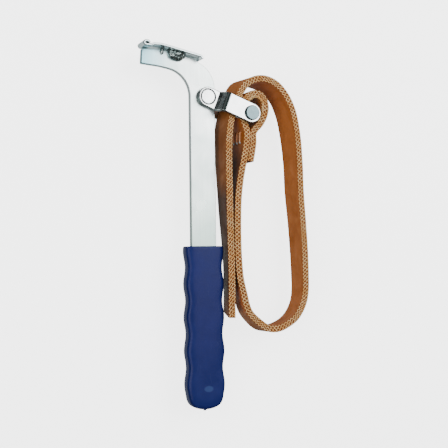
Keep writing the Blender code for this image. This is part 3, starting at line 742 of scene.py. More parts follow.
class WRENCH_OT_saddle(bpy.types.Operator):
    """Make the curved saddle plate with its rolled lip"""
    bl_idname = "wrench.saddle"
    bl_label = "Saddle"

    def execute(self, context):
        metal = settings("metal")
        colour = scaled(metal.zinc_colour, (0.86, 0.93, 0.95))
        # Painted shade darkens the rolled lip to a grey green
        lip_painted_shade = ("X", ORIGIN.x - 46.5 * MM, ORIGIN.x - 49.5 * MM, (0.34, 0.46, 0.42))
        zinc = metal_material("zinc_saddle", colour, scaled(colour, (0.86, 0.86, 0.86)), 0.24, 0.35, 70.0,
                              turn=math.radians(90.0), painted_shade_bands=(lip_painted_shade,))
        strip = strip_mesh("saddle", saddle_path(), SADDLE_FRONT, SADDLE_REAR, 2)
        saddle = new_object("saddle", strip, zinc)
        thick = saddle.modifiers.new("Thickness", "SOLIDIFY")
        thick.thickness = SADDLE_THICKNESS * MM
        thick.offset = 0.0
        thick.use_even_offset = True
        edges = saddle.modifiers.new("Edges", "BEVEL")
        edges.width = 1.5 * metal.edge_radius
        edges.use_clamp_overlap = False
        edges.segments = 3
        edges.limit_method = "ANGLE"
        edges.angle_limit = math.radians(50.0)
        bake_modifiers(saddle)
        saddle.data.transform(Matrix.Translation(ORIGIN))
        even_normals(saddle)
        # Painted shade on the saddle's rounded borders
        mark_painted_edge_shade(saddle, 0.0, 0.88)
        finish_piece(saddle, "handle", ["saddle_plate"])
        return {"FINISHED"}


WELD_VOXEL = 0.28 * MM
WELD_SWELL = 0.55 * MM
WELD_RIPPLE = 0.22


def weld_mesh(name, node, seed):
    """A weld node's solid, made finer and rippled like cooled metal."""
    bm = bmesh.new()
    bm.from_mesh(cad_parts[node].data)
    bmesh.ops.remove_doubles(bm, verts=bm.verts, dist=2e-6)
    source = new_object(name, mesh_from_bmesh(name, bm))
    remesh = source.modifiers.new("Remesh", "REMESH")
    remesh.mode = "VOXEL"
    remesh.voxel_size = WELD_VOXEL
    remesh.use_smooth_shade = True
    smooth = source.modifiers.new("Smooth", "SMOOTH")
    smooth.factor = 0.6
    smooth.iterations = 5
    bake_modifiers(source)
    shift = Vector((seed, seed * 0.7, 0.0))
    mesh = source.data
    normals = [v.normal.copy() for v in mesh.vertices]
    for vert, normal in zip(mesh.vertices, normals):
        spot = vert.co / MM
        wave = math.sin(2.6 * spot.x + 1.1 * spot.y + 2.0 * noise.noise(spot * 0.4 + shift))
        rough = noise.noise(spot * 0.55 + shift) * 0.55 + noise.noise(spot * 1.4 + shift) * 0.25
        vert.co += normal * (rough + WELD_RIPPLE * wave) * WELD_SWELL
    return source


class WRENCH_OT_welds(bpy.types.Operator):
    """Make the weld metal between the bar and the saddle"""
    bl_idname = "wrench.welds"
    bl_label = "Welds"

    def execute(self, context):
        weld_steel = metal_material("weld_metal", (0.50, 0.56, 0.55), (0.20, 0.25, 0.24), 0.16, 0.1,
                                    260.0, lines=400.0, scuffs=0.2)
        for name, node, seed in (("weld_front", "weld_bead_front", 3.1),
                                 ("weld_tack", "weld_tack_front", 8.7),
                                 ("weld_rear", "weld_bead_rear", 14.2)):
            weld = weld_mesh(name, node, seed)
            weld.data.materials.clear()
            weld.data.materials.append(weld_steel)
            finish_piece(weld, "handle", [node])
        return {"FINISHED"}


GRIP_TOP, GRIP_END = -120.7 * MM, -251.2 * MM
GRIP_ROUNDING = 12.5 * MM
GRIP_END_POWER = 3.2                # how square the closed end looks from above
GRIP_POWER = 0.42                   # how square the section is; 1 is an ellipse and 0 a sharp box
GRIP_FIRST_CREST = -124.5 * MM
GRIP_SIDES = 96
GRIP_RIM = 1.1 * MM
GRIP_RIM_STEPS, GRIP_SIDE_STEPS, GRIP_END_STEPS = 6, 150, 24
POCKET_HALF_WIDTH, POCKET_HALF_DEPTH = 10.8 * MM, 2.8 * MM
POCKET_LEVELS = (-246.3, -200.0, -150.0, -128.0)
POCKET_MOUTH = ((0.35, 0.0, 0.12), (0.08, 0.12, 0.13), (0.0, 0.4, 0.14))    # below the rim, wider by, power
NUB_RADIUS, NUB_HEIGHT = 1.25 * MM, 1.3 * MM
NUB_RINGS = ((0.0, 1.15), (0.25, 1.0), (0.85, 0.9), (1.0, 0.6))             # share of height, of radius


def grip_section(y, grip):
    """Half width and half depth of the grip at y, with the waves and the rounded end."""
    wave = math.cos(2 * math.pi * (y - GRIP_FIRST_CREST) / grip.wave_length)
    into_end = max(0.0, 1.0 - (y - GRIP_END) / GRIP_ROUNDING)
    rounding = math.sqrt(max(0.0, 1.0 - into_end ** GRIP_END_POWER))
    return (grip.half_width + grip.wave * wave) * rounding, grip.half_depth * (0.45 + 0.55 * rounding)


def box_ring(y, half_width, half_depth, power):
    """A rounded box outline in a plane across Y."""
    ring = []
    for k in range(GRIP_SIDES):
        angle = 2 * math.pi * (k + 0.5) / GRIP_SIDES
        ring.append(Vector((half_width * math.copysign(abs(math.cos(angle)) ** power, math.cos(angle)), y,
                            half_depth * math.copysign(abs(math.sin(angle)) ** power, math.sin(angle)))))
    return ring


def grip_rings(grip):
    """Rings from the bottom of the bar's pocket, up its wall, over the rim, down the outside to the nub."""
    rings = [box_ring(y * MM, POCKET_HALF_WIDTH, POCKET_HALF_DEPTH, 0.12) for y in POCKET_LEVELS]
    for below, wider, power in POCKET_MOUTH:
        rings.append(box_ring(GRIP_TOP - below * MM, POCKET_HALF_WIDTH + wider * MM,
                              POCKET_HALF_DEPTH + wider * MM, power))
    for k in range(GRIP_RIM_STEPS + 1):
        angle = math.pi / 2 * k / GRIP_RIM_STEPS
        here = GRIP_TOP - GRIP_RIM * (1 - math.cos(angle))
        back = GRIP_RIM * (1 - math.sin(angle))
        wide, deep = grip_section(here, grip)
        rings.append(box_ring(here, wide - back, deep - back, GRIP_POWER))
    rim_end, side_end = GRIP_TOP - GRIP_RIM, GRIP_END + GRIP_ROUNDING
    levels = [rim_end + (side_end - rim_end) * k / GRIP_SIDE_STEPS for k in range(1, GRIP_SIDE_STEPS + 1)]
    levels += [GRIP_END + GRIP_ROUNDING * (1 - math.sin(math.pi / 2 * k / GRIP_END_STEPS))
               for k in range(1, GRIP_END_STEPS)]
    rings += [box_ring(here, *grip_section(here, grip), GRIP_POWER) for here in levels]
    rings += [box_ring(GRIP_END - down * NUB_HEIGHT, share * NUB_RADIUS, share * NUB_RADIUS, 1.0)
              for down, share in NUB_RINGS]
    return rings


class WRENCH_OT_grip(bpy.types.Operator):
    """Make the moulded vinyl grip"""
    bl_idname = "wrench.grip"
    bl_label = "Grip"

    def execute(self, context):
        grip = settings("grip")
        bm = bmesh.new()
        rings = [[bm.verts.new(p) for p in ring] for ring in grip_rings(grip)]
        skin(bm, rings + [[bm.verts.new((0.0, GRIP_END - NUB_HEIGHT, 0.0))]])
        bm.faces.new(rings[0])
        bmesh.ops.recalc_face_normals(bm, faces=bm.faces)
        bm.transform(Matrix.Translation(ORIGIN))
        piece = new_object("grip", mesh_from_bmesh("grip", bm), vinyl_material(tuple(grip.vinyl_colour)))
        even_normals(piece, 60.0)
        finish_piece(piece, "handle", ["grip_sleeve"])
        return {"FINISHED"}


# ---------------------------------------------------------------- link

CRANK_ENDS = (-9.0, 46.0)
PLATE_HALF_WIDTH = 8.0
RIVET_HOLE_RADIUS, PIN_HOLE_RADIUS = 6.1 * MM, 4.3 * MM
CRANK_CUTS, CRANK_MARGIN = 34, 3.0
PIN_CROWN, PIN_HEAD_HEIGHT = 18.9, 1.8


def crank_profile():
    """Middle line of a cranked plate as (distance from the rivet, height), millimetres."""
    low = (LINK_INNER_FACE + LINK_THICKNESS / 2) / MM
    high = low + JOG_RISE
    return fillet_path([(CRANK_ENDS[0], low, 0), (JOG_START, low, JOG_BEND),
                        (JOG_START + JOG_RUN, high, JOG_BEND), (CRANK_ENDS[1], high, 0)],
                       closed=False, step=math.radians(5.0))


def along_crank(path, distance):
    """Place and normal on the crank's middle line, for a distance measured from the rivet."""
    travelled = path[0].x
    for one, two in zip(path, path[1:]):
        span = (two - one).length
        if travelled + span >= distance or two is path[-1]:
            direction = (two - one) / span
            return one + direction * (distance - travelled), Vector((-direction.y, direction.x))
        travelled += span


def crank_length(path):
    """How much longer the crank's middle line is than its plan."""
    return sum((b - a).length for a, b in zip(path, path[1:])) - (path[-1].x - path[0].x)


def link_plate(name, side, material, edge_radius):
    """A flat plate with its two holes, cut across many times and bent along the crank's profile."""
    path = crank_profile()
    extra = crank_length(path)
    half = PLATE_HALF_WIDTH
    reach = LINK_CENTRES / MM + extra
    outline = fillet_path([(-half, half, half), (-half, -half, half),
                           (reach + half, -half, half), (reach + half, half, half)])
    plate = rounded_plate(name, [p * MM for p in outline],
                          [(0.0, 0.0, RIVET_HOLE_RADIUS), (reach * MM, 0.0, PIN_HOLE_RADIUS)],
                          LINK_THICKNESS / 2, edge_radius, material)
    bm = bmesh.new()
    bm.from_mesh(plate.data)
    start, finish = JOG_START - CRANK_MARGIN, JOG_START + JOG_RUN + extra + CRANK_MARGIN
    for k in range(CRANK_CUTS + 1):
        at = (start + (finish - start) * k / CRANK_CUTS) * MM
        bmesh.ops.bisect_plane(bm, geom=bm.verts[:] + bm.edges[:] + bm.faces[:], plane_co=(at, 0, 0),
                               plane_no=(1, 0, 0))
    for vert in bm.verts:
        place, normal = along_crank(path, vert.co.x / MM)
        spot = place + normal * (vert.co.z / MM)
        vert.co = Vector((spot.x * MM, vert.co.y, side * spot.y * MM))
    bmesh.ops.recalc_face_normals(bm, faces=bm.faces)
    bm.transform(LINK_FRAME)
    bm.to_mesh(plate.data)
    bm.free()
    return even_normals(plate)


def turned_piece(name, half_profile, matrix, material):
    """A pin or rivet turned from the (radius, height, rounding) corners of its upper half."""
    profile = [(max(0.0, p.x) * MM, p.y * MM)
               for p in fillet_path(half_profile, closed=False, step=math.radians(22.0))]
    profile += [(radius, -z) for radius, z in reversed(profile[:-1])]
    return lathe(name, profile, matrix, material)


class WRENCH_OT_link(bpy.types.Operator):
    """Make the two link plates, the flush rivet and the headed strap pin"""
    bl_idname = "wrench.link"
    bl_label = "Link"

    def execute(self, context):
        metal = settings("metal")
        colour, pin_colour = tuple(metal.link_colour), tuple(metal.pin_colour)
        steel = metal_material("link_steel", colour, scaled(colour, (0.95, 0.95, 0.95)), 0.20, 0.3, 90.0,
                               turn=math.radians(90.0) - LINK_ANGLE, lines=1400.0)
        for name, node, side in (("link_front", "link_plate_front", 1),
                                 ("link_rear", "link_plate_rear", -1)):
            plate = link_plate(name, side, steel, 2.0 * metal.edge_radius)
            # Painted shade on the plates' walls and borders, and on the crank's slope from 9.6 to 13.9 mm
            mark_painted_edge_shade(plate, 0.93, 0.8, LINK_FRAME, (9.6, 13.9))
            finish_piece(plate, "link", [node])
        rivet_steel = metal_material("rivet_steel", colour, scaled(colour, (0.93, 0.93, 0.93)), 0.26, 0.2,
                                     120.0, scuffs=0.8)
        inner = LINK_INNER_FACE / MM
        top = inner + LINK_THICKNESS / MM
        rivet = turned_piece("rivet", [(0.0, top, 0), (5.8, top, 0.35), (5.5, top - 0.9, 0.2),
                                       (4.0, inner, 0.3), (4.0, 0.0, 0)], LINK_FRAME, rivet_steel)
        finish_piece(rivet, "link", ["link_rivet"])
        pin_steel = metal_material("pin_steel", pin_colour, scaled(pin_colour, (1.5, 1.5, 1.5)), 0.34,
                                   0.2, 320.0, scuffs=0.9)
        seat = PIN_CROWN - PIN_HEAD_HEIGHT
        pin = turned_piece("pin", [(0.0, PIN_CROWN, 0), (5.55, PIN_CROWN, 0.25),
                                   (6.1, PIN_CROWN - 0.7, 0.4), (6.1, seat, 0.15), (4.0, seat, 0.1),
                                   (4.0, 0.0, 0)],
                           LINK_FRAME @ Matrix.Translation((LINK_CENTRES, 0, 0)), pin_steel)
        # Painted shade on the pin's walls and borders
        mark_painted_edge_shade(pin, 0.85, 0.85)
        finish_piece(pin, "link", ["strap_pin"])
        return {"FINISHED"}


# ---------------------------------------------------------------- strap

def strap_route(finer):
    """The whole middle line: the stapled tail, the eye, and the long run to the free end."""
    pitch = STRAP_THICKNESS + 2 * GAP
    main = [Vector(p) for p in MAIN_ROUTE]
    tail = []
    for place, along in list(zip(main, path_tangents(main)))[:DOUBLED_POINTS]:
        tail.append(place + Vector((-along.y, along.x, 0)).normalized() * pitch)
    whole = list(reversed(tail)) + [Vector(p) for p in EYE_ROUTE] + main
    return smooth_path(whole, CAD_ROUTE_STEP, finer)


def strap_frames(finer=FINE_STEPS):
    """Stations along the strap: middle point, width direction, thickness direction, distance."""
    route = strap_route(finer)
    stations = []
    travelled = 0.0
    for k, place in enumerate(route):
        before, after = route[max(k - 1, 0)], route[min(k + 1, len(route) - 1)]
        along = after - before
        across = Vector((-along.y, along.x, 0.0)).normalized()
        tilt = math.atan2(place.z, STRAP_WIDTH)
        width_way = Vector((0, 0, -1)) * math.cos(tilt) + across * math.sin(tilt)
        thick_way = across * math.cos(tilt) + Vector((0, 0, 1)) * math.sin(tilt)
        middle = Vector((place.x, place.y, 0.0))
        if k:
            travelled += (middle - Vector((*route[k - 1][:2], 0.0))).length
        stations.append((middle, width_way, thick_way, travelled))
    return stations


def slant_at(station, count):
    """How far the far edge is drawn back along the strap to give the slanted free end."""
    from_end = count - 1 - station
    return END_SLANT * max(0.0, 1.0 - from_end / FINE_STEPS)


PLY_HALF = 0.90                     # millimetres; the plies almost meet
PLY_CORNER = 0.30


def ply_section():
    """Rounded rectangle of one ply as (across width, across thickness, is edge), millimetres."""
    half = STRAP_WIDTH / 2
    section = []
    flats = 8
    arc = [math.radians(a) for a in (0, 30, 60, 90)]
    for sign in (1, -1):
        for k in range(1, flats):
            section.append((sign * (-half + PLY_CORNER + (STRAP_WIDTH - 2 * PLY_CORNER) * k / flats),
                            sign * PLY_HALF, False))
        for angle in arc:
            section.append((sign * (half - PLY_CORNER + PLY_CORNER * math.sin(angle)),
                            sign * (PLY_HALF - PLY_CORNER + PLY_CORNER * math.cos(angle)), True))
        for angle in reversed(arc):
            section.append((sign * (half - PLY_CORNER + PLY_CORNER * math.sin(angle)),
                            sign * (-PLY_HALF + PLY_CORNER - PLY_CORNER * math.cos(angle)), True))
    return section


# Where painted shade darkens the canvas close to the bar, the grip and its own runs: x range, y range in the
# design frame, sign of the normal's x, amount
PAINTED_SHADE_ZONES = (((14.0, 27.0), (-190.0, -52.0), -1, 0.92), ((14.0, 24.0), (-90.0, 4.0), -1, 0.5),
         ((18.0, 30.0), (-150.0, -22.0), 1, 0.85), ((24.0, 38.0), (-150.0, -22.0), -1, 0.85))
PAINTED_SHADE_FADE = 30.0


def add_painted_shade(mesh):
    """Stores on each corner how much painted shade darkens the canvas, where it lies close to the bar, the
    grip or itself.
    """
    painted_shade = mesh.attributes.new("painted_shade", "FLOAT", "CORNER")
    for face in mesh.polygons:
        for corner in face.loop_indices:
            place = (mesh.vertices[mesh.loops[corner].vertex_index].co - ORIGIN) / MM
            value = 0.0
            for (left, right), (low, high), way, amount in PAINTED_SHADE_ZONES:
                if left < place.x < right and face.normal.x * way > 0.3:
                    inside = min(place.y - low, high - place.y)
                    value = max(value, amount * min(1.0, max(0.0, inside / PAINTED_SHADE_FADE)))
            painted_shade.data[corner].value = value


def ply_mesh(name, offset, canvas, edge):
    """One canvas ply swept along the strap, with a UV map in metres."""
    section = ply_section()
    count = len(section)
    girth = [0.0]
    for one, two in zip(section, section[1:] + section[:1]):
        girth.append(girth[-1] + math.dist(one[:2], two[:2]))
    bm = bmesh.new()
    uv = bm.loops.layers.uv.new("UVMap")
    rings = []
    stations = strap_frames()
    for k, (middle, width_way, thick_way, travelled) in enumerate(stations):
        wander = 0.05 * noise.noise(Vector((travelled * 0.07, offset, 0.0)))
        cut_back = thick_way.cross(width_way) * slant_at(k, len(stations))
        rings.append([bm.verts.new((middle + width_way * w + thick_way * (offset + t + wander)
                                    + cut_back * (w / STRAP_WIDTH + 0.5)) * MM + ORIGIN)
                      for w, t, _ in section])
    for s in range(len(rings) - 1):
        for k in range(count):
            n = (k + 1) % count
            face = bm.faces.new((rings[s][k], rings[s][n], rings[s + 1][n], rings[s + 1][k]))
            face.material_index = 1 if section[k][2] and section[n][2] else 0
            spots = ((s, k), (s, k + 1), (s + 1, k + 1), (s + 1, k))
            for loop, (station, around) in zip(face.loops, spots):
                loop[uv].uv = (stations[station][3] * MM, girth[around] * MM)
    for ring in (list(reversed(rings[0])), rings[-1]):
        face = bm.faces.new(ring)
        face.material_index = 1
    bmesh.ops.recalc_face_normals(bm, faces=bm.faces)
    mesh = mesh_from_bmesh(name, bm)
    mesh.materials.append(canvas)
    mesh.materials.append(edge)
    add_painted_shade(mesh)
    return mesh


class WRENCH_OT_strap(bpy.types.Operator):
    """Make the strap's three bonded canvas plies"""
    bl_idname = "wrench.strap"
    bl_label = "Strap"

    def execute(self, context):
        strap = settings("strap")
        canvas = canvas_material(tuple(strap.canvas_colour))
        edge = belt_edge_material(tuple(strap.edge_colour))
        for name, node, offset in (("strap_outer", "strap_ply_outer", -PLY_PITCH),
                                   ("strap_middle", "strap_ply_middle", 0.0),
                                   ("strap_inner", "strap_ply_inner", PLY_PITCH)):
            ply = new_object(name, ply_mesh(name, offset, canvas, edge))
            even_normals(ply, 50.0)
            finish_piece(ply, "strap", [node])
        return {"FINISHED"}


def edge_line(name, offset, side):
    """The middle of one ply's cut edge as a line, with the sideways and outward directions on it."""
    stations = strap_frames()
    mesh = bpy.data.meshes.new(name)
    places = [(m + w * side * STRAP_WIDTH / 2 + t * offset
               + t.cross(w) * slant_at(k, len(stations)) * (side + 1) / 2) * MM + ORIGIN
              for k, (m, w, t, _) in enumerate(stations)]
    mesh.from_pydata(places, [(k, k + 1) for k in range(len(places) - 1)], [])
    sideways = mesh.attributes.new("sideways", "FLOAT_VECTOR", "POINT")
    outward = mesh.attributes.new("outward", "FLOAT_VECTOR", "POINT")
    for k, (_, width_way, thick_way, _) in enumerate(stations):
        sideways.data[k].vector = thick_way
        outward.data[k].vector = width_way * side
    return mesh


def start_tree(name, sizes):
    """A Geometry Nodes tree with named sizes, a seed and a material, and its line of edges as a curve."""
    tree = bpy.data.node_groups.new(name, "GeometryNodeTree")
    sockets = [("Geometry", "Geometry", None)] + [(size, "Float", value) for size, value in sizes.items()]
    for socket, kind, value in sockets + [("Seed", "Int", 3), ("Material", "Material", None)]:
        made = tree.interface.new_socket(socket, in_out="INPUT", socket_type="NodeSocket" + kind)
        if value is not None:
            made.default_value = value
    tree.interface.new_socket("Geometry", in_out="OUTPUT", socket_type="NodeSocketGeometry")
    entry = tree.nodes.new("NodeGroupInput").outputs
    curve = add_node(tree, "GeometryNodeMeshToCurve", {"Mesh": entry["Geometry"]}).outputs["Curve"]
    return tree, entry, curve


def end_tree(tree, entry, geometry):
    real = add_node(tree, "GeometryNodeRealizeInstances", {"Geometry": geometry}).outputs["Geometry"]
    coloured = add_node(tree, "GeometryNodeSetMaterial", {"Geometry": real, "Material": entry["Material"]})
    add_node(tree, "NodeGroupOutput", {"Geometry": coloured.outputs["Geometry"]})
    return tree


def line_direction(tree, name):
    """A direction that the line carries at each of its points."""
    node = add_node(tree, "GeometryNodeInputNamedAttribute", {"Name": name}, data_type="FLOAT_VECTOR")
    return node.outputs["Attribute"]


SAMPLES_PER_WAVE = 6.0


def zigzag_thread_tree():
    """A thread that zigzags along a line and dips in and out of the cut edge."""
    tree, entry, curve = start_tree("Zigzag thread", {
        "Wave length": 3.1 * MM, "Sway": 0.7 * MM, "Thread radius": 0.25 * MM, "Phase": 0.0,
        "Unevenness": 0.25 * MM})
    step = maths(tree, "DIVIDE", entry["Wave length"], SAMPLES_PER_WAVE)
    sampled = add_node(tree, "GeometryNodeResampleCurve", {"Curve": curve, "Length": step}, mode="LENGTH")
    length = add_node(tree, "GeometryNodeSplineParameter").outputs["Length"]
    waves = maths(tree, "DIVIDE", length, entry["Wave length"])
    turn = maths(tree, "ADD", maths(tree, "MULTIPLY", waves, 2 * math.pi), entry["Phase"])
    uneven = add_node(tree, "ShaderNodeTexNoise", {"Scale": 700.0, "Detail": 1.0, "W": entry["Seed"]},
                      noise_dimensions="4D").outputs["Fac"]
    stray = maths(tree, "MULTIPLY", maths(tree, "SUBTRACT", uneven, 0.5), entry["Unevenness"])
    sway = maths(tree, "ADD", maths(tree, "MULTIPLY", maths(tree, "SINE", turn), entry["Sway"]), stray)
    dip = maths(tree, "ADD", maths(tree, "COSINE", maths(tree, "MULTIPLY", turn, 2.0)), 0.2)
    lift = maths(tree, "MULTIPLY", dip, maths(tree, "MULTIPLY", entry["Thread radius"], 0.45))
    moves = []
    for name, amount in (("sideways", sway), ("outward", maths(tree, "ADD", lift, stray))):
        scale = add_node(tree, "ShaderNodeVectorMath", {0: line_direction(tree, name), "Scale": amount},
                         operation="SCALE")
        moves.append(scale.outputs[0])
    moved = add_node(tree, "GeometryNodeSetPosition", {"Geometry": sampled.outputs["Curve"],
                                                       "Offset": vector_maths(tree, "ADD", *moves)})
    circle = add_node(tree, "GeometryNodeCurvePrimitiveCircle", {"Resolution": 5,
                                                                 "Radius": entry["Thread radius"]})
    solid = add_node(tree, "GeometryNodeCurveToMesh",
                     {"Curve": moved.outputs["Geometry"], "Profile Curve": circle.outputs["Curve"],
                      "Fill Caps": True})
    return end_tree(tree, entry, solid.outputs["Mesh"])


def run_nodes(obj, tree, values, material):
    """Runs a Geometry Nodes tree on an object and keeps the result as a plain mesh."""
    modifier = obj.modifiers.new("Nodes", "NODES")
    modifier.node_group = tree
    for item in tree.interface.items_tree:
        if item.in_out == "INPUT" and item.name in values:
            modifier[item.identifier] = values[item.name]
    bake_modifiers(obj)
    if material.name not in obj.data.materials:
        obj.data.materials.append(material)
    obj.data.shade_smooth()
    return obj


def join_meshes(name, objects, material):
    """One object from several plain mesh objects."""
    bm = bmesh.new()
    for obj in objects:
        bm.from_mesh(obj.data)
        mesh = obj.data
        bpy.data.objects.remove(obj, do_unlink=True)
        bpy.data.meshes.remove(mesh)
    mesh = mesh_from_bmesh(name, bm)
    mesh.materials.clear()
    return new_object(name, mesh, material)


class WRENCH_OT_edge_threads(bpy.types.Operator):
    """Run a zigzag thread along both cut edges of every ply"""
    bl_idname = "wrench.edge_threads"
    bl_label = "Edge threads"

    def execute(self, context):
        strap = settings("strap")
        cotton = thread_material("edge_thread", tuple(strap.thread_colour))
        tree = zigzag_thread_tree()
        values = {"Wave length": strap.thread_wave, "Sway": strap.thread_sway,
                  "Thread radius": strap.thread_radius, "Unevenness": 0.35 * MM, "Material": cotton}
        for index, name in enumerate(("outer", "middle", "inner")):
            made = []
            for side in (-1, 1):
                line = new_object("thread_line", edge_line("thread_line", (index - 1) * PLY_PITCH, side))
                values.update({"Phase": math.pi * (index % 2), "Seed": 11 * index + side + 5})
                made.append(run_nodes(line, tree, values, cotton))
            threads = join_meshes("edge_threads_" + name, made, cotton)
            finish_piece(threads, "strap", [])
        return {"FINISHED"}


def fray_line(name, offset, first, last, side):
    """A stretch of one ply's cut edge, in metres along the strap, with the directions fibres grow in."""
    stations = [s for s in strap_frames() if first <= s[3] <= last]
    mesh = bpy.data.meshes.new(name)
    places = [(m + w * side * (STRAP_WIDTH / 2 - 0.1) + t * offset) * MM + ORIGIN for m, w, t, _ in stations]
    mesh.from_pydata(places, [(k, k + 1) for k in range(len(places) - 1)], [])
    growth = mesh.attributes.new("growth", "FLOAT_VECTOR", "POINT")
    for k, (_, width_way, thick_way, _) in enumerate(stations):
        growth.data[k].vector = (thick_way * 0.9 + width_way * side * 0.35).normalized()
    return mesh


def fray_tree():
    """Ragged fibres of random length along a line."""
    tree, entry, curve = start_tree("Fray", {
        "Spacing": 0.4 * MM, "Shortest": 0.6 * MM, "Longest": 2.2 * MM, "Fibre radius": 0.2 * MM,
        "Splay": 0.7})
    points = add_node(tree, "GeometryNodeCurveToPoints", {"Curve": curve, "Length": entry["Spacing"]},
                      mode="LENGTH")
    thin = maths(tree, "DIVIDE", entry["Fibre radius"], entry["Longest"])
    stick = add_node(tree, "GeometryNodeMeshCone", {"Vertices": 5, "Radius Top": 0.0, "Depth": 1.0,
                                                    "Radius Bottom": thin})
    stray = add_node(tree, "FunctionNodeRandomValue", {"Min": (-1.0, -1.0, -1.0), "Max": (1.0, 1.0, 1.0),
                                                       "Seed": entry["Seed"]}, data_type="FLOAT_VECTOR")
    splayed = add_node(tree, "ShaderNodeVectorMath", {0: stray.outputs["Value"], "Scale": entry["Splay"]},
                       operation="SCALE")
    aim = vector_maths(tree, "ADD", line_direction(tree, "growth"), splayed.outputs[0])
    turn = add_node(tree, "FunctionNodeAlignRotationToVector", {"Vector": aim}, axis="Z")
    length = add_node(tree, "FunctionNodeRandomValue",
                      {2: entry["Shortest"], 3: entry["Longest"],
                       "Seed": maths(tree, "ADD", entry["Seed"], 1)}, data_type="FLOAT")
    spread = add_node(tree, "GeometryNodeInstanceOnPoints",
                      {"Points": points.outputs["Points"], "Instance": stick.outputs["Mesh"],
                       "Rotation": turn.outputs["Rotation"], "Scale": length.outputs[1]})
    return end_tree(tree, entry, spread.outputs["Instances"])


EYE_START, EYE_END = 33.0, 92.0     # distances along the strap, millimetres
FREE_END_FRAY = 3.0


class WRENCH_OT_fray(bpy.types.Operator):
    """Grow ragged fibres round the eye's inner ply and at the free end"""
    bl_idname = "wrench.fray"
    bl_label = "Fray"

    def execute(self, context):
        cotton = thread_material("fray_cotton", tuple(settings("strap").thread_colour))
        tree = fray_tree()
        length = strap_frames()[-1][3]
        eye, free_end = (EYE_START, EYE_END), (length - FREE_END_FRAY, length)
        made = []
        for seed, (offset, (first, last), longest) in enumerate((
                (PLY_PITCH + PLY_HALF, eye, 2.3), (PLY_PITCH, eye, 1.4),
                (PLY_PITCH, free_end, 1.0), (-PLY_PITCH, free_end, 1.0))):
            line = new_object("fray_line", fray_line("fray_line", offset, first, last, -1))
            values = {"Spacing": 0.42 * MM, "Shortest": 0.5 * MM, "Longest": longest * MM,
                      "Fibre radius": 0.33 * MM, "Splay": 0.75, "Seed": 5 * seed + 3, "Material": cotton}
            made.append(run_nodes(line, tree, values, cotton))
        fray = join_meshes("fray", made, cotton)
        finish_piece(fray, "strap", [])
        return {"FINISHED"}


STAPLE_MIDDLE_Y = -32.6


def staple_frame():
    """Middle of the doubled strap at the staples, with the directions along and across it."""
    stations = [s for s in strap_frames(1) if 26 < s[0].x < 36 and s[0].y < -24]
    middle, _, across, _ = min(stations, key=lambda s: abs(s[0].y - STAPLE_MIDDLE_Y))
    across = Vector((across.x, across.y, 0)).normalized()
    along = Vector((across.y, -across.x, 0.0))
    return middle + along * ((STAPLE_MIDDLE_Y - middle.y) / along.y), along, across


WIRE_RADIUS, WIRE_BEND = 0.75, 1.1
STAPLE_HALF_CROWN, STAPLE_LEG_TURN = 4.5, 3.4
STAPLE_PITCH = 6.0
STAPLE_PLAY = 0.25


class WRENCH_OT_staples(bpy.types.Operator):
    """Make the three copper-washed wire staples"""
    bl_idname = "wrench.staples"
    bl_label = "Staples"

    def execute(self, context):
        middle, along, across = staple_frame()
        copper = wire_material(tuple(settings("metal").copper_colour), ORIGIN.y + (middle.y - 3.0) * MM)
        clear = STRAP_THICKNESS / 2 + GAP + WIRE_RADIUS + STAPLE_PLAY
        crown = middle - across * clear
        depth = 2 * clear + STRAP_THICKNESS + GAP
        half, tail = STAPLE_HALF_CROWN, STAPLE_HALF_CROWN - STAPLE_LEG_TURN
        path = fillet_path([(tail, depth, 0.0), (half, depth, WIRE_BEND), (half, 0, WIRE_BEND),
                            (-half, 0, WIRE_BEND), (-half, depth, WIRE_BEND), (-tail, depth, 0.0)],
                           closed=False, step=math.radians(15.0))
        for index, word in enumerate(("near", "middle", "far")):
            level = Vector((0, 0, (1 - index) * STAPLE_PITCH))
            bm = bmesh.new()
            tube(bm, [(crown + along * p.x + across * p.y + level) * MM + ORIGIN for p in path],
                 WIRE_RADIUS * MM, 12)
            bmesh.ops.recalc_face_normals(bm, faces=bm.faces)
            staple = new_object("wire_" + word, mesh_from_bmesh("wire_" + word, bm), copper)
            finish_piece(staple, "strap", ["staple_" + word])
        return {"FINISHED"}


# ---------------------------------------------------------------- stage

def soft_light(name, place, target, size, power, colour=(1.0, 1.0, 1.0)):
    lamp = bpy.data.lights.new(name, "AREA")
    lamp.shape = "RECTANGLE"
    lamp.size, lamp.size_y = size
    lamp.energy = power
    lamp.color = colour
    obj = bpy.data.objects.new(name, lamp)
    bpy.context.scene.collection.objects.link(obj)
    obj.location = place
    obj.rotation_euler = (Vector(target) - Vector(place)).to_track_quat("-Z", "Y").to_euler()
    return obj


# Brightness of the surroundings from straight down (0) through the horizon (0.5) to overhead (1)
SKY_STOPS = ((0.0, 0.85), (0.12, 0.70), (0.30, 0.06), (0.70, 0.06), (0.82, 0.30), (1.0, 0.45))
SKY_TINT = (0.90, 1.0, 1.0)


def studio_world(strength):
    """Soft overhead, dark towards the horizon, and a pale glow from below, as on a light table."""
    world = bpy.data.worlds.new("studio")
    world.use_nodes = True
    tree = world.node_tree
    background = tree.nodes["Background"]
    coords = tree.nodes.new("ShaderNodeTexCoord")
    height = remap(tree, split_axes(tree, coords.outputs["Generated"])["Z"], -1.0, 1.0)
    ramp = add_node(tree, "ShaderNodeValToRGB", {"Fac": height})
    stops = ramp.color_ramp.elements
    for position, grey in SKY_STOPS:
        stop = {0.0: stops[0], 1.0: stops[-1]}.get(position) or stops.new(position)
        stop.color = (*(grey * share for share in SKY_TINT), 1.0)
    feed(tree, background.inputs["Color"], ramp.outputs["Color"])
    background.inputs["Strength"].default_value = strength
    bpy.context.scene.world = world


CAMERA_PLACE = (-0.2977, -0.02351, 0.7296)
CAMERA_TARGET = (-0.0016, 0.00189, 0.0214)
CAMERA_UP = (0.01292, 0.99992, 0.0)
CAMERA_LENS = 75.94
FLOOR_HALF_SIZE = 40.0


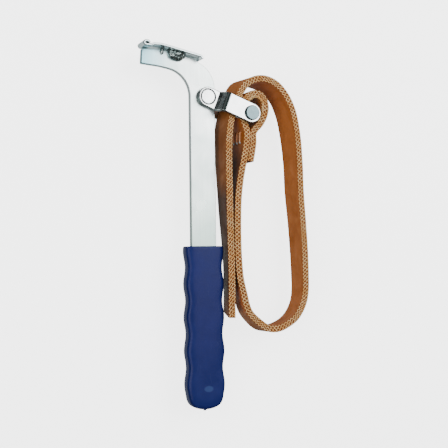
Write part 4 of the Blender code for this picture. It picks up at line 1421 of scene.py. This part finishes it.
def aim_camera():
    lens = bpy.data.cameras.new("camera")
    lens.lens = CAMERA_LENS
    lens.sensor_width = 36.0
    lens.clip_start = 0.01
    camera = bpy.data.objects.new("camera", lens)
    bpy.context.scene.collection.objects.link(camera)
    forward = (Vector(CAMERA_TARGET) - Vector(CAMERA_PLACE)).normalized()
    right = forward.cross(Vector(CAMERA_UP)).normalized()
    turn = Matrix((right, right.cross(forward), -forward)).transposed()
    camera.matrix_world = Matrix.Translation(CAMERA_PLACE) @ turn.to_4x4()
    bpy.context.scene.camera = camera


class WRENCH_OT_stage(bpy.types.Operator):
    """Set the floor, the soft lights and the camera"""
    bl_idname = "wrench.stage"
    bl_label = "Stage"

    def execute(self, context):
        stage = settings("stage")
        bm = bmesh.new()
        bmesh.ops.create_grid(bm, x_segments=1, y_segments=1, size=FLOOR_HALF_SIZE)
        floor = new_object("floor", mesh_from_bmesh("floor", bm, smooth=False),
                           floor_material(tuple(stage.floor_colour), stage.floor_glow))
        floor.location.z = CAD_BOX[0].z - 0.2 * MM
        floor.visible_glossy = False
        floor.visible_diffuse = False
        soft_light("key_soft", (0.70, 0.62, 1.1), (0.70, 0.62, 0.0), (0.9, 1.15), stage.key_strength)
        soft_light("side_soft", (-0.9, -0.15, 0.95), (0.0, 0.0, 0.0), (0.8, 0.8), stage.side_strength)
        fill = soft_light("fill_soft", (-0.7, 0.65, 0.95), (0.0, 0.0, 0.0), (0.8, 0.8),
                          stage.fill_strength)
        fill.visible_glossy = False
        soft_light("head_soft", (0.30, -0.06, 1.1), (0.30, -0.06, 0.0), (0.16, 0.22), stage.head_strength)
        studio_world(stage.sky_strength)
        aim_camera()
        return {"FINISHED"}


class WRENCH_PT_panel(bpy.types.Panel):
    """Lists the settings and pieces of the wrench"""
    bl_idname = "WRENCH_PT_panel"
    bl_label = "Oil Filter Wrench"
    bl_space_type = "VIEW_3D"
    bl_region_type = "UI"
    bl_category = "Wrench"

    def draw(self, context):
        for kind, title in (("metal", "Steel"), ("grip", "Grip"), ("strap", "Strap"), ("stage", "Stage")):
            box = self.layout.box()
            box.label(text=title)
            group = settings(kind)
            for name in group.bl_rna.properties.keys():
                if name not in {"rna_type", "name"}:
                    box.prop(group, name)
        column = self.layout.column(align=True)
        for operator in OPERATORS:
            column.operator(operator.bl_idname)


SETTINGS = {"metal": WrenchMetalSettings, "grip": WrenchGripSettings, "strap": WrenchStrapSettings,
            "stage": WrenchStageSettings}
OPERATORS = (WRENCH_OT_bar, WRENCH_OT_saddle, WRENCH_OT_welds, WRENCH_OT_grip, WRENCH_OT_link,
             WRENCH_OT_strap, WRENCH_OT_edge_threads, WRENCH_OT_fray, WRENCH_OT_staples, WRENCH_OT_stage)


def register():
    for kind, group in SETTINGS.items():
        bpy.utils.register_class(group)
        setattr(bpy.types.Scene, "wrench_" + kind, bpy.props.PointerProperty(type=group))
    for operator in OPERATORS:
        bpy.utils.register_class(operator)
    bpy.utils.register_class(WRENCH_PT_panel)


def unregister():
    bpy.utils.unregister_class(WRENCH_PT_panel)
    for operator in reversed(OPERATORS):
        bpy.utils.unregister_class(operator)
    for kind, group in SETTINGS.items():
        delattr(bpy.types.Scene, "wrench_" + kind)
        bpy.utils.unregister_class(group)


def main():
    register()
    for operator in OPERATORS:
        family, name = operator.bl_idname.split(".")
        getattr(getattr(bpy.ops, family), name)()
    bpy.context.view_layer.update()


if __name__ == "__main__":
    main()
